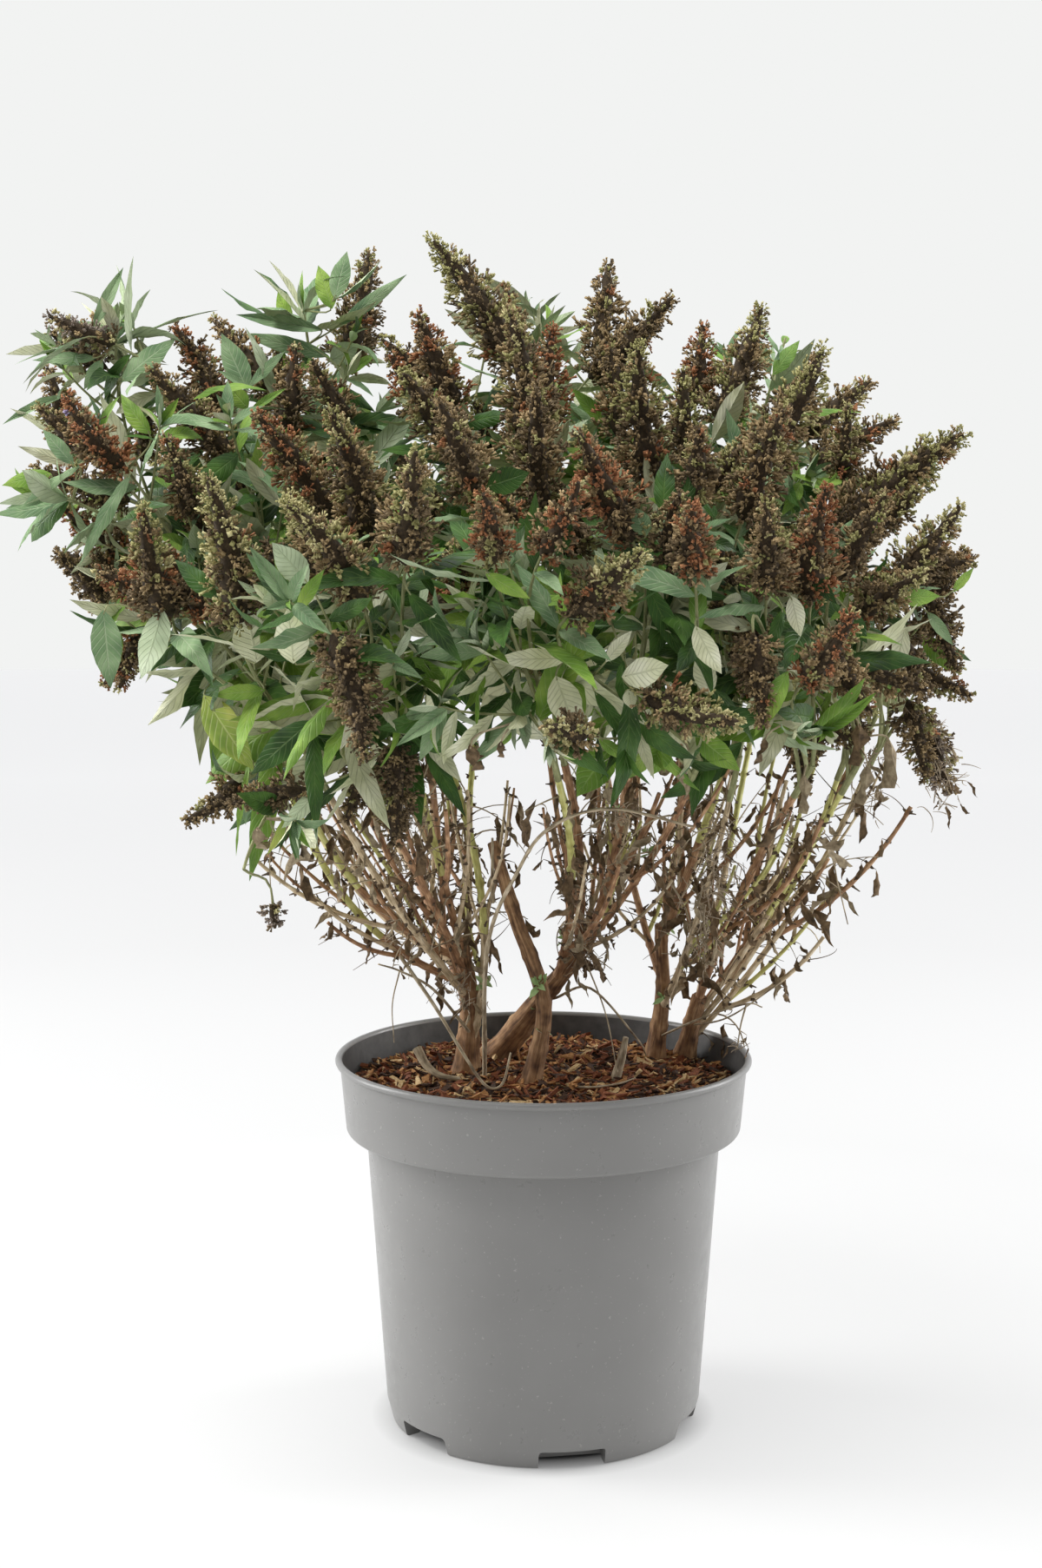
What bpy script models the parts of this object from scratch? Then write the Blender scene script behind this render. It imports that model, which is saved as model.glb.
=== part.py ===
"""A butterfly bush in its grey nursery pot, after flowering.

Woody stems and bare canes carry a dome of leafy shoots that end in dry flower spikes. The frame is in
metres, +Z up, with the origin on the floor under the middle of the pot. Sizes below are in centimetres,
and CM turns them to metres.
"""

import math
import random

import bmesh
import bpy
from mathutils import Matrix, Vector
from mathutils.bvhtree import BVHTree

CM = 0.01
GAP = 0.03  # what two neighbouring pieces leave between them
SEED = 12

# The pot: a 12 litre nursery container, 29.7 across the lip and 26.4 high.
POT_HEIGHT = 26.4
LIP_RADIUS = 14.85
LIP_HEIGHT = 0.5
COLLAR_TOP_RADIUS = 14.5
COLLAR_FOOT_RADIUS = 14.1
COLLAR_FOOT = 21.1
NECK_RADIUS = 12.65
WAIST_RADIUS = 11.3
WAIST_HEIGHT = 1.6
FOOT_RADIUS = 10.95
POT_WALL = 0.2
NOTCH_COUNT = 6
NOTCH_FIRST = math.radians(-50)
NOTCH_ARC = math.radians(24)
NOTCH_HEIGHT = 1.3
NOTCH_DEPTH = 1.7
NOTCH_WALL = 0.22
TURN_STEPS = 32
SOIL_TOP = 24.65

# A stem: its axis from the soil to its tip, then its radius at the foot and at the tip.
STEM_SIDES = 8
STEM_STEPS = 3
FLARE_GAIN = 0.55
FLARE_HEIGHT = 1.1
STEMS = {
    "stem_left": (((-5.5, 0.9), (-5.3, 0.6, 30.0), (-6.0, 0.3, 34.8)), 0.80, 0.48),
    "stem_centre": (((-0.9, -2.3), (0.0, -2.5, 30.6), (-2.0, -1.0, 36.4), (-3.6, 0.8, 41.5)), 0.58, 0.42),
    "stem_leaning": (((-3.6, 6.0), (-0.4, 4.2, 29.1), (1.8, 2.8, 32.2), (3.4, 2.4, 34.6)), 0.88, 0.52),
    "stem_right": (((8.3, 6.1), (8.8, 5.0, 29.6), (8.6, 4.2, 35.0)), 0.58, 0.45),
    "stem_far_right": (((10.6, 6.9), (11.1, 6.3, 27.4), (11.6, 5.8, 29.4)), 0.62, 0.52),
}

# A cane: its stem, the height where it leaves that stem, its halfway point, its tip, and its two radii.
CANE_SIDES = 5
CANE_STEPS = 5
CANES = {
    "cane_left_low": ("stem_left", 31.4, (-13.2, -1.0, 36.8), (-18.2, -2.0, 47.0), 0.32, 0.25),
    "cane_left_outer": ("stem_left", 33.2, (-12.4, -2.8, 38.2), (-17.6, -5.4, 47.6), 0.30, 0.24),
    "cane_left_high": ("stem_left", 32.6, (-13.4, 3.6, 37.6), (-18.5, 6.5, 46.4), 0.30, 0.24),
    "cane_left_front": ("stem_left", 30.2, (-10.6, -6.4, 38.8), (-14.3, -11.0, 46.4), 0.30, 0.25),
    "cane_left_mid": ("stem_left", 31.8, (-8.4, -7.6, 40.0), (-11.6, -16.0, 47.4), 0.29, 0.24),
    "cane_centre_front": ("stem_left", 33.6, (-7.2, -6.0, 41.0), (-8.4, -13.0, 48.0), 0.30, 0.25),
    "cane_left_back": ("stem_left", 34.0, (-8.4, 4.6, 41.4), (-12.0, 8.6, 47.4), 0.28, 0.24),
    "cane_centre_top": ("stem_left", 26.2, (-4.3, 0.2, 36.5), (-7.2, 3.4, 48.0), 0.34, 0.28),
    "cane_centre_crest": ("stem_leaning", 33.2, (2.6, 0.9, 40.4), (1.4, -4.0, 47.6), 0.38, 0.30),
    "cane_centre_heart": ("stem_leaning", 31.0, (1.9, -5.2, 39.4), (0.8, -14.0, 47.6), 0.34, 0.27),
    "cane_centre_right": ("stem_leaning", 34.5, (5.0, -2.2, 41.4), (5.4, -9.6, 47.8), 0.32, 0.26),
    "cane_centre_back": ("stem_leaning", 32.2, (5.2, 5.4, 38.8), (6.8, 9.6, 46.0), 0.32, 0.26),
    "cane_centre_low": ("stem_leaning", 31.9, (7.0, -2.8, 40.2), (9.4, -11.4, 46.8), 0.30, 0.25),
    "cane_right_top": ("stem_right", 33.6, (10.7, 2.4, 40.0), (12.6, -0.4, 46.4), 0.36, 0.27),
    "cane_right_back": ("stem_right", 32.0, (9.8, 7.4, 39.2), (12.2, 12.0, 46.2), 0.30, 0.24),
    "cane_right_crest": ("stem_right", 28.4, (10.9, -1.4, 36.6), (12.4, -8.2, 45.6), 0.26, 0.22),
    "cane_right_front": ("stem_far_right", 28.3, (13.8, 0.2, 37.4), (16.6, -9.4, 46.0), 0.35, 0.27),
    "cane_right_low_front": ("stem_far_right", 27.3, (15.8, 2.4, 35.4), (20.0, -7.6, 46.0), 0.26, 0.22),
    "cane_right_outer": ("stem_far_right", 26.4, (17.0, 4.0, 35.8), (20.6, -1.0, 46.2), 0.26, 0.22),
    "cane_right_low": ("stem_far_right", 25.6, (18.0, 6.0, 35.0), (23.3, 4.0, 46.0), 0.26, 0.22),
    "cane_back_left": ("stem_left", 29.0, (-9.2, 8.4, 37.4), (-14.6, 16.0, 46.8), 0.30, 0.24),
    "cane_back_centre": ("stem_left", 31.0, (-5.6, 9.4, 39.6), (-5.2, 17.4, 47.6), 0.30, 0.24),
    "cane_back_middle": ("stem_right", 30.4, (6.6, 11.6, 38.0), (4.6, 18.6, 47.0), 0.30, 0.24),
    "cane_back_right": ("stem_far_right", 28.9, (13.8, 11.2, 37.6), (16.2, 17.2, 47.0), 0.30, 0.24),
    "cane_back_far_right": ("stem_far_right", 27.5, (18.0, 9.8, 36.8), (23.4, 11.4, 46.2), 0.28, 0.23),
}

# A mass of foliage, named as its cane is: one row for each of its shoots. A row holds the shoot's tip, the
# length of the flower spike there, and how many degrees that spike leans to the right and to the back.
# A length of 0 is a shoot that ends in a pair of leaves.
SHOOTS = {
    "left_low": ((-34.6, 2.0, 62.0, 5.5, -62, 15), (-31.5, -2.5, 58.0, 5.0, -115, 0),
                 (-28.5, 9.0, 62.5, 6.0, -56, 24), (-29.7, -7.0, 53.2, 3.5, -140, -18)),
    "left_outer": ((-31.4, -9.0, 72.6, 6.5, -35, -20), (-34.9, -2.0, 72.1, 5.0, -50, 0),
                   (-34.7, -5.5, 67.7, 7.0, -72, -10), (-26.7, -4.0, 74.6, 8.0, -40, -10),
                   (-33.0, -8.0, 66.0, 0, -78, -15)),
    "left_high": ((-34.0, -2.0, 78.3, 5.0, -66, -10), (-35.5, 5.0, 75.2, 4.5, -15, 14),
                  (-26.1, 3.0, 77.9, 7.5, -30, 8), (-24.0, 8.5, 78.8, 7.0, -38, 16),
                  (-29.6, 0.0, 77.6, 0, 4, 4)),
    "left_front": ((-25.1, -17.0, 65.2, 8.0, -8, -25), (-20.7, -21.0, 66.9, 10.0, -8, -20),
                   (-29.2, -12.0, 61.1, 6.0, -60, -30), (-23.4, -14.5, 44.9, 5.0, -125, -20),
                   (-19.0, -19.0, 42.5, 0, -165, -20)),
    "left_mid": ((-18.6, -13.0, 71.1, 9.0, -35, -22), (-13.5, -19.0, 71.0, 10.0, -12, -22),
                 (-15.6, -25.5, 65.3, 9.0, -34, -34), (-11.0, -25.5, 50.0, 8.0, 165, -16)),
    "left_back": ((-17.6, 4.0, 76.6, 6.5, 6, 2), (-12.7, 11.0, 84.0, 9.0, 12, 8),
                  (-16.2, 1.0, 75.4, 5.0, -30, -10), (-17.5, 17.0, 76.0, 6.0, -20, 28),
                  (-17.4, 8.5, 79.4, 0, -8, -2)),
    "centre_front": ((-7.6, -28.0, 68.4, 8.5, 8, -36), (-6.6, -21.0, 71.5, 7.0, -20, -24),
                     (-13.0, -14.0, 44.8, 5.0, -170, 0), (-9.6, -19.0, 43.8, 6.5, -178, 0)),
    "centre_top": ((-7.9, 0.0, 83.6, 10.5, -34, -6), (-8.6, -4.5, 78.3, 7.0, -22, -10),
                   (-11.5, 2.0, 77.0, 5.0, -55, 0), (-9.4, -9.0, 74.0, 8.5, -36, -24)),
    "centre_crest": ((-2.4, -11.0, 77.8, 10.0, -7, -12), (-2.8, 7.0, 81.2, 5.0, -8, 14),
                     (0.6, -3.0, 77.4, 7.0, 2, -4), (-0.6, -17.0, 72.7, 8.5, -2, -24)),
    "centre_heart": ((-3.8, -28.5, 65.8, 6.0, -8, -46), (1.8, -26.5, 66.6, 6.0, 26, -34),
                     (-2.0, -22.0, 52.0, 0, -150, -40)),
    "centre_right": ((6.0, -13.0, 75.5, 10.0, -8, -18), (1.8, -22.0, 69.7, 9.0, -28, -32),
                     (9.4, -18.0, 70.0, 6.0, 6, -30)),
    "centre_back": ((4.9, 13.0, 83.4, 7.5, 6, 14), (9.4, 7.0, 80.4, 8.5, 46, 0),
                    (4.5, 3.0, 76.6, 6.5, -6, 4), (-1.0, 11.0, 80.0, 0, -24, 10)),
    "centre_low": ((5.6, -27.0, 62.4, 7.5, 48, -38), (8.6, -25.5, 65.2, 6.5, -6, -46),
                   (11.5, -26.0, 52.4, 7.0, 104, -34)),
    "right_top": ((11.4, 5.0, 78.2, 6.0, 6, 12), (15.1, 1.0, 79.3, 9.0, 20, 4),
                  (9.4, -4.0, 74.5, 6.5, -4, -6)),
    "right_crest": ((18.2, -8.0, 75.8, 10.5, 34, -12), (15.0, -16.0, 71.3, 8.5, 18, -28),
                    (13.2, -21.0, 65.5, 7.0, -6, -36)),
    "right_back": ((24.5, 11.0, 74.5, 7.0, 50, 18), (25.6, 6.0, 71.4, 7.5, 60, 12),
                   (20.4, 16.0, 76.8, 6.0, 24, 26), (17.6, 8.0, 77.4, 0, 20, 10)),
    "right_front": ((17.4, -19.0, 66.4, 8.5, 4, -30), (18.6, -22.0, 58.8, 6.5, 30, -34),
                    (13.2, -21.0, 51.6, 6.0, 176, -20)),
    "right_low_front": ((24.6, -12.0, 61.0, 6.0, 52, -28), (21.6, -15.0, 66.0, 7.0, 26, -26),
                        (25.6, -10.0, 53.0, 5.5, 108, 0), (20.6, -17.5, 52.0, 5.5, 150, -30)),
    "right_outer": ((28.7, -4.0, 70.2, 11.0, 52, -6), (27.6, -8.0, 65.4, 7.5, 40, -12),
                    (27.6, 3.0, 69.1, 6.5, 52, 8)),
    "right_low": ((30.2, 0.0, 61.6, 6.0, 70, 0), (30.0, 4.0, 56.6, 6.0, 88, 10),
                  (30.0, -1.0, 52.0, 5.5, 114, -10), (28.9, 6.0, 44.8, 6.0, 165, 10)),
    "back_left": ((-23.5, 21.0, 72.0, 8.0, -34, 30), (-29.5, 13.0, 69.0, 7.0, -54, 22),
                  (-16.5, 27.0, 65.0, 8.0, -20, 46), (-25.0, 19.0, 56.0, 6.0, -96, 30)),
    "back_centre": ((-7.5, 20.0, 76.5, 8.5, -8, 24), (-11.5, 29.0, 66.5, 7.5, -14, 50),
                    (-4.5, 30.0, 60.0, 7.0, 4, 62), (-2.5, 25.5, 70.0, 7.5, 6, 38)),
    "back_middle": ((5.6, 21.0, 75.5, 8.5, 6, 24), (9.0, 29.0, 65.5, 7.5, 14, 50),
                    (2.5, 31.0, 58.0, 7.0, -6, 64), (12.0, 22.0, 71.0, 7.0, 24, 32)),
    "back_right": ((18.0, 22.5, 70.5, 8.0, 24, 34), (14.5, 28.5, 60.0, 7.5, 12, 56),
                   (23.0, 21.0, 62.0, 7.0, 46, 38)),
    "back_far_right": ((27.6, 13.0, 67.0, 7.5, 50, 22), (29.4, 9.5, 60.0, 6.5, 72, 16),
                       (26.6, 17.0, 55.5, 7.0, 84, 36)),
}

# The dry twig that bends across the front of the canes: points by hand along it, then its two radii.
TWIG_SIDES = 5
TWIG_STEPS = 2
DRY_TWIG = ((-4.2, -1.2, SOIL_TOP + GAP), (-3.9, -6.0, 35.2), (-1.8, -11.0, 41.2), (0.2, -15.4, 44.6),
            (4.0, -16.4, 46.0), (9.4, -16.0, 44.8))
DRY_TWIG_RADII = (0.16, 0.08)

# How a mass is built up from its cane's tip: one stem, and the shoots that leave it one above the other.
MASS_STEM_LENGTH = 4.0
MASS_STEM_RADII = (0.22, 0.19)
TWIG_WALLS = 3
SHOOT_HEIGHTS = (0.97, 0.3)  # the shares of the stem where the first and the last shoot leave it
SHOOT_SLANT = 1.3  # how much a shoot turns to its spike at once, against the way the stem runs
SHOOT_STIFFNESS = 0.36
SHOOT_STEPS = 3
SHOOT_RADII = (0.17, 0.11)
SPIKE_SIDES = 5
SPIKE_PROFILE = ((0.0, 0.5), (0.3, 1.0), (1.0, 0.12))
SPIKE_WIDTH = (1.2, 0.33)  # a spike's width is the first plus the second times its length
SPIKE_SINK = 0.5

# How a shoot is clothed: pairs of leaves, each pair turned a quarter from the last.
NODE_SPACING = 4.4
LEAF_FIRST = 0.16
LEAF_LENGTH = (11.0, 7.0)  # at the foot of a shoot and under its spike
LEAF_ASPECT = (0.36, 0.46)
LEAF_SPREAD = (76, 44)  # degrees from the shoot, at its foot and under its spike
SPREAD_JITTER = 9
END_SPREAD = (14, 28)
LENGTH_JITTER = (0.85, 1.1)
LEAF_TRIES = (1, 0.82, 0.66)  # the shares of its length that a leaf is tried at, until one fits
LEAF_THICKNESS = 0.13
LEAF_WIDEST = 0.42
LEAF_ROOT = 0.06
LEAF_DROOP = 0.14  # how far its tip bends down, as a share of its length
LEAF_HANG = 0.22  # how much its own weight turns it down
END_LEAF_LENGTH = 8.0

# The dome that the leaves keep inside: its centre and reach in plan, then its top and its foot along x.
CROWN_CENTRE = (-3.6, 0.5)
CROWN_REACH = (34.2, 32.0)
CROWN_TOP = ((-38, 76), (-31, 83), (-12, 84), (0, 81), (10, 81), (18, 78), (31, 68))
CROWN_FOOT = ((-38, 54), (-24, 44), (-12, 46), (-4, 50.5), (3, 49), (7, 45.5), (16, 47), (31, 49))

# Base colour, roughness.
FINISHES = {
    "grey_plastic": ((0.21, 0.21, 0.22), 0.45),
    "bark_compost": ((0.09, 0.035, 0.018), 0.95),
    "woody_bark": ((0.17, 0.085, 0.045), 0.85),
    "cane_bark": ((0.24, 0.13, 0.06), 0.75),
    "leaf_green": ((0.06, 0.13, 0.05), 0.6),
    "dry_flower": ((0.09, 0.055, 0.03), 0.95),
}


def clear_scene():
    for old in list(bpy.data.objects):
        bpy.data.objects.remove(old)


def make_collection(name):
    made = bpy.data.collections.new(name)
    bpy.context.scene.collection.children.link(made)
    return made


def make_material(name):
    colour, roughness = FINISHES[name]
    material = bpy.data.materials.new(name)
    material.use_nodes = True
    shader = material.node_tree.nodes["Principled BSDF"]
    shader.inputs["Base Color"].default_value = (*colour, 1)
    shader.inputs["Roughness"].default_value = roughness
    return material


def new_object(name, bm, collection, *materials):
    """Makes the bmesh, in centimetres, an object in metres."""
    bmesh.ops.scale(bm, vec=(CM, CM, CM), verts=bm.verts)
    mesh = bpy.data.meshes.new(name)
    bm.to_mesh(mesh)
    bm.free()
    for material in materials:
        mesh.materials.append(material)
    made = bpy.data.objects.new(name, mesh)
    collection.objects.link(made)
    return made


def shade_round(obj):
    obj.data.shade_smooth()
    obj.data.set_sharp_from_angle(angle=math.radians(40))


def boolean(obj, operation, **operand):
    cut = obj.modifiers.new(operation.title(), "BOOLEAN")
    cut.operation = operation
    cut.solver = "EXACT"
    if "collection" in operand:
        cut.operand_type = "COLLECTION"
    for key, value in operand.items():
        setattr(cut, key, value)
    return cut


def applied(obj):
    """Replaces the object's mesh by what its modifiers make of it."""
    graph = bpy.context.evaluated_depsgraph_get()
    mesh = bpy.data.meshes.new_from_object(obj.evaluated_get(graph))
    mesh.name = obj.name
    obj.modifiers.clear()
    obj.data = mesh


def arc(centre, radius, start, end, steps):
    """Points along an arc in the profile's plane, with the angles in degrees."""
    angles = (math.radians(start + (end - start) * i / steps) for i in range(steps + 1))
    return [(centre[0] + radius * math.cos(a), centre[1] + radius * math.sin(a)) for a in angles]


def turned(name, profile, collection, *materials):
    """Turns a profile of (radius, height) points, which runs from the axis at the top down its outer side."""
    bm = bmesh.new()
    points = [bm.verts.new((radius, 0, height)) for radius, height in profile]
    for a, b in zip(points, points[1:]):
        bm.edges.new((a, b))
    made = new_object(name, bm, collection, *materials)
    screw = made.modifiers.new("Turn", "SCREW")
    screw.steps = screw.render_steps = TURN_STEPS
    screw.use_merge_vertices = True
    screw.merge_threshold = 1e-5
    screw.use_smooth_shade = True
    return made


def pot_outline():
    """The outside of the pot, from the axis at the top of the lip to the axis at the underside."""
    lip = arc((LIP_RADIUS - 0.2, POT_HEIGHT - 0.2), 0.2, 90, 0, 2)
    under_lip = [(LIP_RADIUS, POT_HEIGHT - LIP_HEIGHT), (COLLAR_TOP_RADIUS, POT_HEIGHT - LIP_HEIGHT - 0.06)]
    collar_foot = arc((COLLAR_FOOT_RADIUS - 0.35, COLLAR_FOOT + 0.35), 0.35, 0, -90, 2)
    body = [(NECK_RADIUS, COLLAR_FOOT - 0.15), (WAIST_RADIUS, WAIST_HEIGHT)]
    foot = arc((FOOT_RADIUS - 0.3, 0.3), 0.3, 0, -90, 2)
    return [(0, POT_HEIGHT), *lip, *under_lip, *collar_foot, *body, *foot, (0, 0)]


def cavity_outline(inset, top):
    """The inside of the pot, this far inside its walls, from the axis at the top to the axis at its floor."""
    shoulder = COLLAR_FOOT - 0.15 + POT_WALL
    edge_top = COLLAR_TOP_RADIUS - 0.3
    wall = POT_WALL + inset
    rise = (top - shoulder) / (POT_HEIGHT - shoulder)
    collar_radius = COLLAR_FOOT_RADIUS - 0.25
    at_top = collar_radius + (edge_top - collar_radius) * rise - inset
    return [
        (0, top),
        (at_top, top),
        (collar_radius - inset, shoulder + 0.4 + inset),
        (NECK_RADIUS - wall, shoulder + inset),
        (WAIST_RADIUS - wall, WAIST_HEIGHT + inset),
        (FOOT_RADIUS - 0.25 - wall, wall + 0.12),
        (FOOT_RADIUS - 0.60 - wall, wall),
        (0, wall),
    ]


def notch_blocks(prefix, grow, collection):
    """The blocks that take the drainage notches out of the pot's foot, each grown by this much."""
    made = []
    for i in range(NOTCH_COUNT):
        middle = NOTCH_FIRST + i * math.tau / NOTCH_COUNT
        inner = FOOT_RADIUS - NOTCH_DEPTH - grow
        outer = FOOT_RADIUS + 2
        half = FOOT_RADIUS * math.tan(NOTCH_ARC / 2) + grow
        top = NOTCH_HEIGHT + grow
        bm = bmesh.new()
        bmesh.ops.create_cube(bm, size=1)
        bmesh.ops.scale(bm, vec=(2 * half, outer - inner, top + 1), verts=bm.verts)
        bmesh.ops.translate(bm, vec=(0, -(inner + outer) / 2, (top - 1) / 2), verts=bm.verts)
        bmesh.ops.rotate(bm, matrix=Matrix.Rotation(middle, 3, "Z"), verts=bm.verts)
        block = new_object(f"{prefix}_{i}", bm, collection)
        block.hide_render = True
        block.display_type = "WIRE"
        made.append(block)
    return made


def build_pot(parts, cutters, materials):
    """The pot is its outline less the notches and less the cavity, which leaves each notch its inner wall."""
    notches = make_collection("notches")
    notch_walls = make_collection("notch_walls")
    notch_blocks("notch", 0, notches)
    notch_blocks("notch_wall", NOTCH_WALL, notch_walls)
    cavity = turned("pot_cavity", cavity_outline(0, POT_HEIGHT + 1), cutters)
    cavity.hide_render = True
    cavity.display_type = "WIRE"
    boolean(cavity, "DIFFERENCE", collection=notch_walls)
    pot = turned("pot", pot_outline(), parts, materials["grey_plastic"])
    boolean(pot, "DIFFERENCE", collection=notches)
    boolean(pot, "DIFFERENCE", object=cavity)
    shade_round(pot)
    return pot


def build_soil(parts, materials):
    """Compost fills the pot, clear of its walls, with a low crown."""
    clearances = make_collection("soil_clearances")
    notch_blocks("soil_clearance", NOTCH_WALL + GAP, clearances)
    profile = cavity_outline(GAP, SOIL_TOP)
    profile[0] = (0, SOIL_TOP)
    soil = turned("soil", profile, parts, materials["bark_compost"])
    boolean(soil, "DIFFERENCE", collection=clearances)
    return soil


def ring_frames(points, radii, first):
    """A frame for each ring of a tube, carried along the path without twisting, at the size of its radius."""
    frames = []
    facing = first or (points[1] - points[0]).normalized()
    turn = Vector((0, 0, 1)).rotation_difference(facing)
    for i, (point, radius) in enumerate(zip(points, radii)):
        if i:
            onward = (points[min(i + 1, len(points) - 1)] - points[i - 1]).normalized()
            turn = facing.rotation_difference(onward) @ turn
            facing = onward
        frames.append(Matrix.Translation(point) @ turn.to_matrix().to_4x4() @ Matrix.Scale(radius, 4))
    return frames


def tube(points, radii, sides, first=None):
    """A closed tube: one disc, extruded from each point of the path to the next."""
    bm = bmesh.new()
    frames = ring_frames(points, radii, first)
    bmesh.ops.create_circle(bm, cap_ends=True, segments=sides, radius=1, matrix=frames[0])
    cap = next(iter(bm.faces))
    for i, (before, after) in enumerate(zip(frames, frames[1:])):
        grown = bmesh.ops.extrude_face_region(bm, geom=[cap])["geom"]
        if i:
            bmesh.ops.delete(bm, geom=[cap], context="FACES_ONLY")
        cap = next(item for item in grown if isinstance(item, bmesh.types.BMFace))
        moved = [item for item in grown if isinstance(item, bmesh.types.BMVert)]
        bmesh.ops.transform(bm, matrix=after @ before.inverted(), verts=moved)
    bmesh.ops.recalc_face_normals(bm, faces=bm.faces)
    return bm


def smooth_path(points, steps):
    """A smooth path through the points, with this many steps from one to the next."""
    path = []
    for i, (a, b) in enumerate(zip(points, points[1:])):
        before = points[i - 1] if i else 2 * a - b
        after = points[i + 2] if i + 2 < len(points) else 2 * b - a
        for k in range(steps):
            t = k / steps
            bend = (b - before) * t + (2 * before - 5 * a + 4 * b - after) * t**2
            path.append(a + 0.5 * (bend + (3 * a - before - 3 * b + after) * t**3))
    path.append(points[-1])
    return path


def blend(pair, share):
    return pair[0] + (pair[1] - pair[0]) * share


def across(table, x):
    """The value at x in a table of (x, value) rows, straight between them."""
    for (x0, v0), (x1, v1) in zip(table, table[1:]):
        if x <= x1:
            return v0 + (v1 - v0) * max(0, x - x0) / (x1 - x0)
    return table[-1][1]


def stem_path(name):
    (foot, *rest), foot_radius, tip_radius = STEMS[name]
    points = [Vector((*foot, SOIL_TOP + GAP)), *map(Vector, rest)]
    path = smooth_path(points, STEM_STEPS)
    radii = []
    for point in path:
        share = (point.z - path[0].z) / (path[-1].z - path[0].z)
        flare = 1 + FLARE_GAIN * math.exp(-(point.z - path[0].z) / FLARE_HEIGHT)
        radii.append(blend((foot_radius, tip_radius), share) * flare)
    return path, radii


def stem_axis_at(name, height):
    path, _ = stem_path(name)
    for a, b in zip(path, path[1:]):
        if height <= b.z:
            return a.lerp(b, (height - a.z) / (b.z - a.z))
    return path[-1]


def cane_path(name):
    """The cane's axis, from its stem's axis through its halfway point to its tip, and the radius at each."""
    stem, height, middle, tip, foot_radius, tip_radius = CANES[name]
    start, middle, tip = stem_axis_at(stem, height), Vector(middle), Vector(tip)
    control = 2 * middle - (start + tip) / 2
    path, radii = [], []
    for i in range(CANE_STEPS + 1):
        t = i / CANE_STEPS
        path.append((1 - t) ** 2 * start + 2 * t * (1 - t) * control + t * t * tip)
        radii.append(blend((foot_radius, tip_radius), t))
    return path, radii


def build_stems(parts, cutters, materials):
    """The stems, and a fatter copy of each that the canes are cut clear of."""
    clearances = {}
    for name in STEMS:
        path, radii = stem_path(name)
        up = Vector((0, 0, 1))
        shade_round(new_object(name, tube(path, radii, STEM_SIDES, up), parts, materials["woody_bark"]))
        wider = [radius + GAP / math.cos(math.pi / STEM_SIDES) for radius in radii]
        longer = path[:-1] + [path[-1] + (path[-1] - path[-2]).normalized() * GAP]
        cutter = new_object(f"{name}_clearance", tube(longer, wider, STEM_SIDES, up), cutters)
        cutter.hide_render = True
        cutter.display_type = "WIRE"
        clearances[name] = cutter
    return clearances


def build_canes(parts, clearances, materials):
    for name, (stem, *_) in CANES.items():
        path, radii = cane_path(name)
        cane = new_object(name, tube(path, radii, CANE_SIDES), parts, materials["cane_bark"])
        shade_round(cane)
        boolean(cane, "DIFFERENCE", object=clearances[stem])


def dry_twig_tube():
    """The dry twig, cut flat where it stands on the soil."""
    path = smooth_path([Vector(point) for point in DRY_TWIG], TWIG_STEPS)
    radii = [blend(DRY_TWIG_RADII, i / (len(path) - 1)) for i in range(len(path))]
    return tube(path, radii, TWIG_SIDES, Vector((0, 0, 1)))


def lean_direction(lean_right, lean_back):
    right, back = math.radians(lean_right), math.radians(lean_back)
    return Vector((math.sin(right) * math.cos(back), math.sin(back), math.cos(right) * math.cos(back)))


def shoot_path(start, rising, tip, length, facing):
    """The shoot to its spike, which leaves the mass's stem aslant and arrives the way the spike faces."""
    end = tip - facing * length
    reach = (end - start).length * SHOOT_STIFFNESS
    leaving = (rising + SHOOT_SLANT * (end - start).normalized()).normalized()
    controls = start, start + leaving * reach, end - facing * reach, end
    path = []
    for i in range(SHOOT_STEPS + 1):
        t = i / SHOOT_STEPS
        shares = (1 - t) ** 3, 3 * t * (1 - t) ** 2, 3 * t * t * (1 - t), t**3
        path.append(sum((share * point for share, point in zip(shares, controls)), Vector()))
    return path


def spike(foot, facing, length):
    """A spent flower spike as one faceted cone with a round foot."""
    start = foot - facing * SPIKE_SINK
    whole = length + SPIKE_SINK
    half_width = (SPIKE_WIDTH[0] + SPIKE_WIDTH[1] * length) / 2
    points = [start + facing * whole * share for share, _ in SPIKE_PROFILE]
    radii = [half_width * width for _, width in SPIKE_PROFILE]
    return tube(points, radii, SPIKE_SIDES)


def leaf(root, direction, upper, length, width):
    """A leaf of eight faces: a squashed sphere drawn out to a point at both ends, its tip bent down."""
    bm = bmesh.new()
    bmesh.ops.create_uvsphere(bm, u_segments=4, v_segments=2, radius=1)
    whole = length + LEAF_ROOT
    bmesh.ops.scale(bm, vec=(width / 2, LEAF_THICKNESS / 2, whole / 2), verts=bm.verts)
    for vert in bm.verts:
        along = vert.co.z / whole + 0.5
        if 0.1 < along < 0.9:
            vert.co.z = LEAF_WIDEST * whole
        else:
            vert.co.z = along * whole
            vert.co.y = -LEAF_DROOP * whole * along
    side = upper.cross(direction).normalized()
    turn = Matrix((side, direction.cross(side), direction)).transposed().to_4x4()
    place = Matrix.Translation(root - direction * LEAF_ROOT) @ turn
    bmesh.ops.transform(bm, matrix=place, verts=bm.verts)
    return bm


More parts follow.
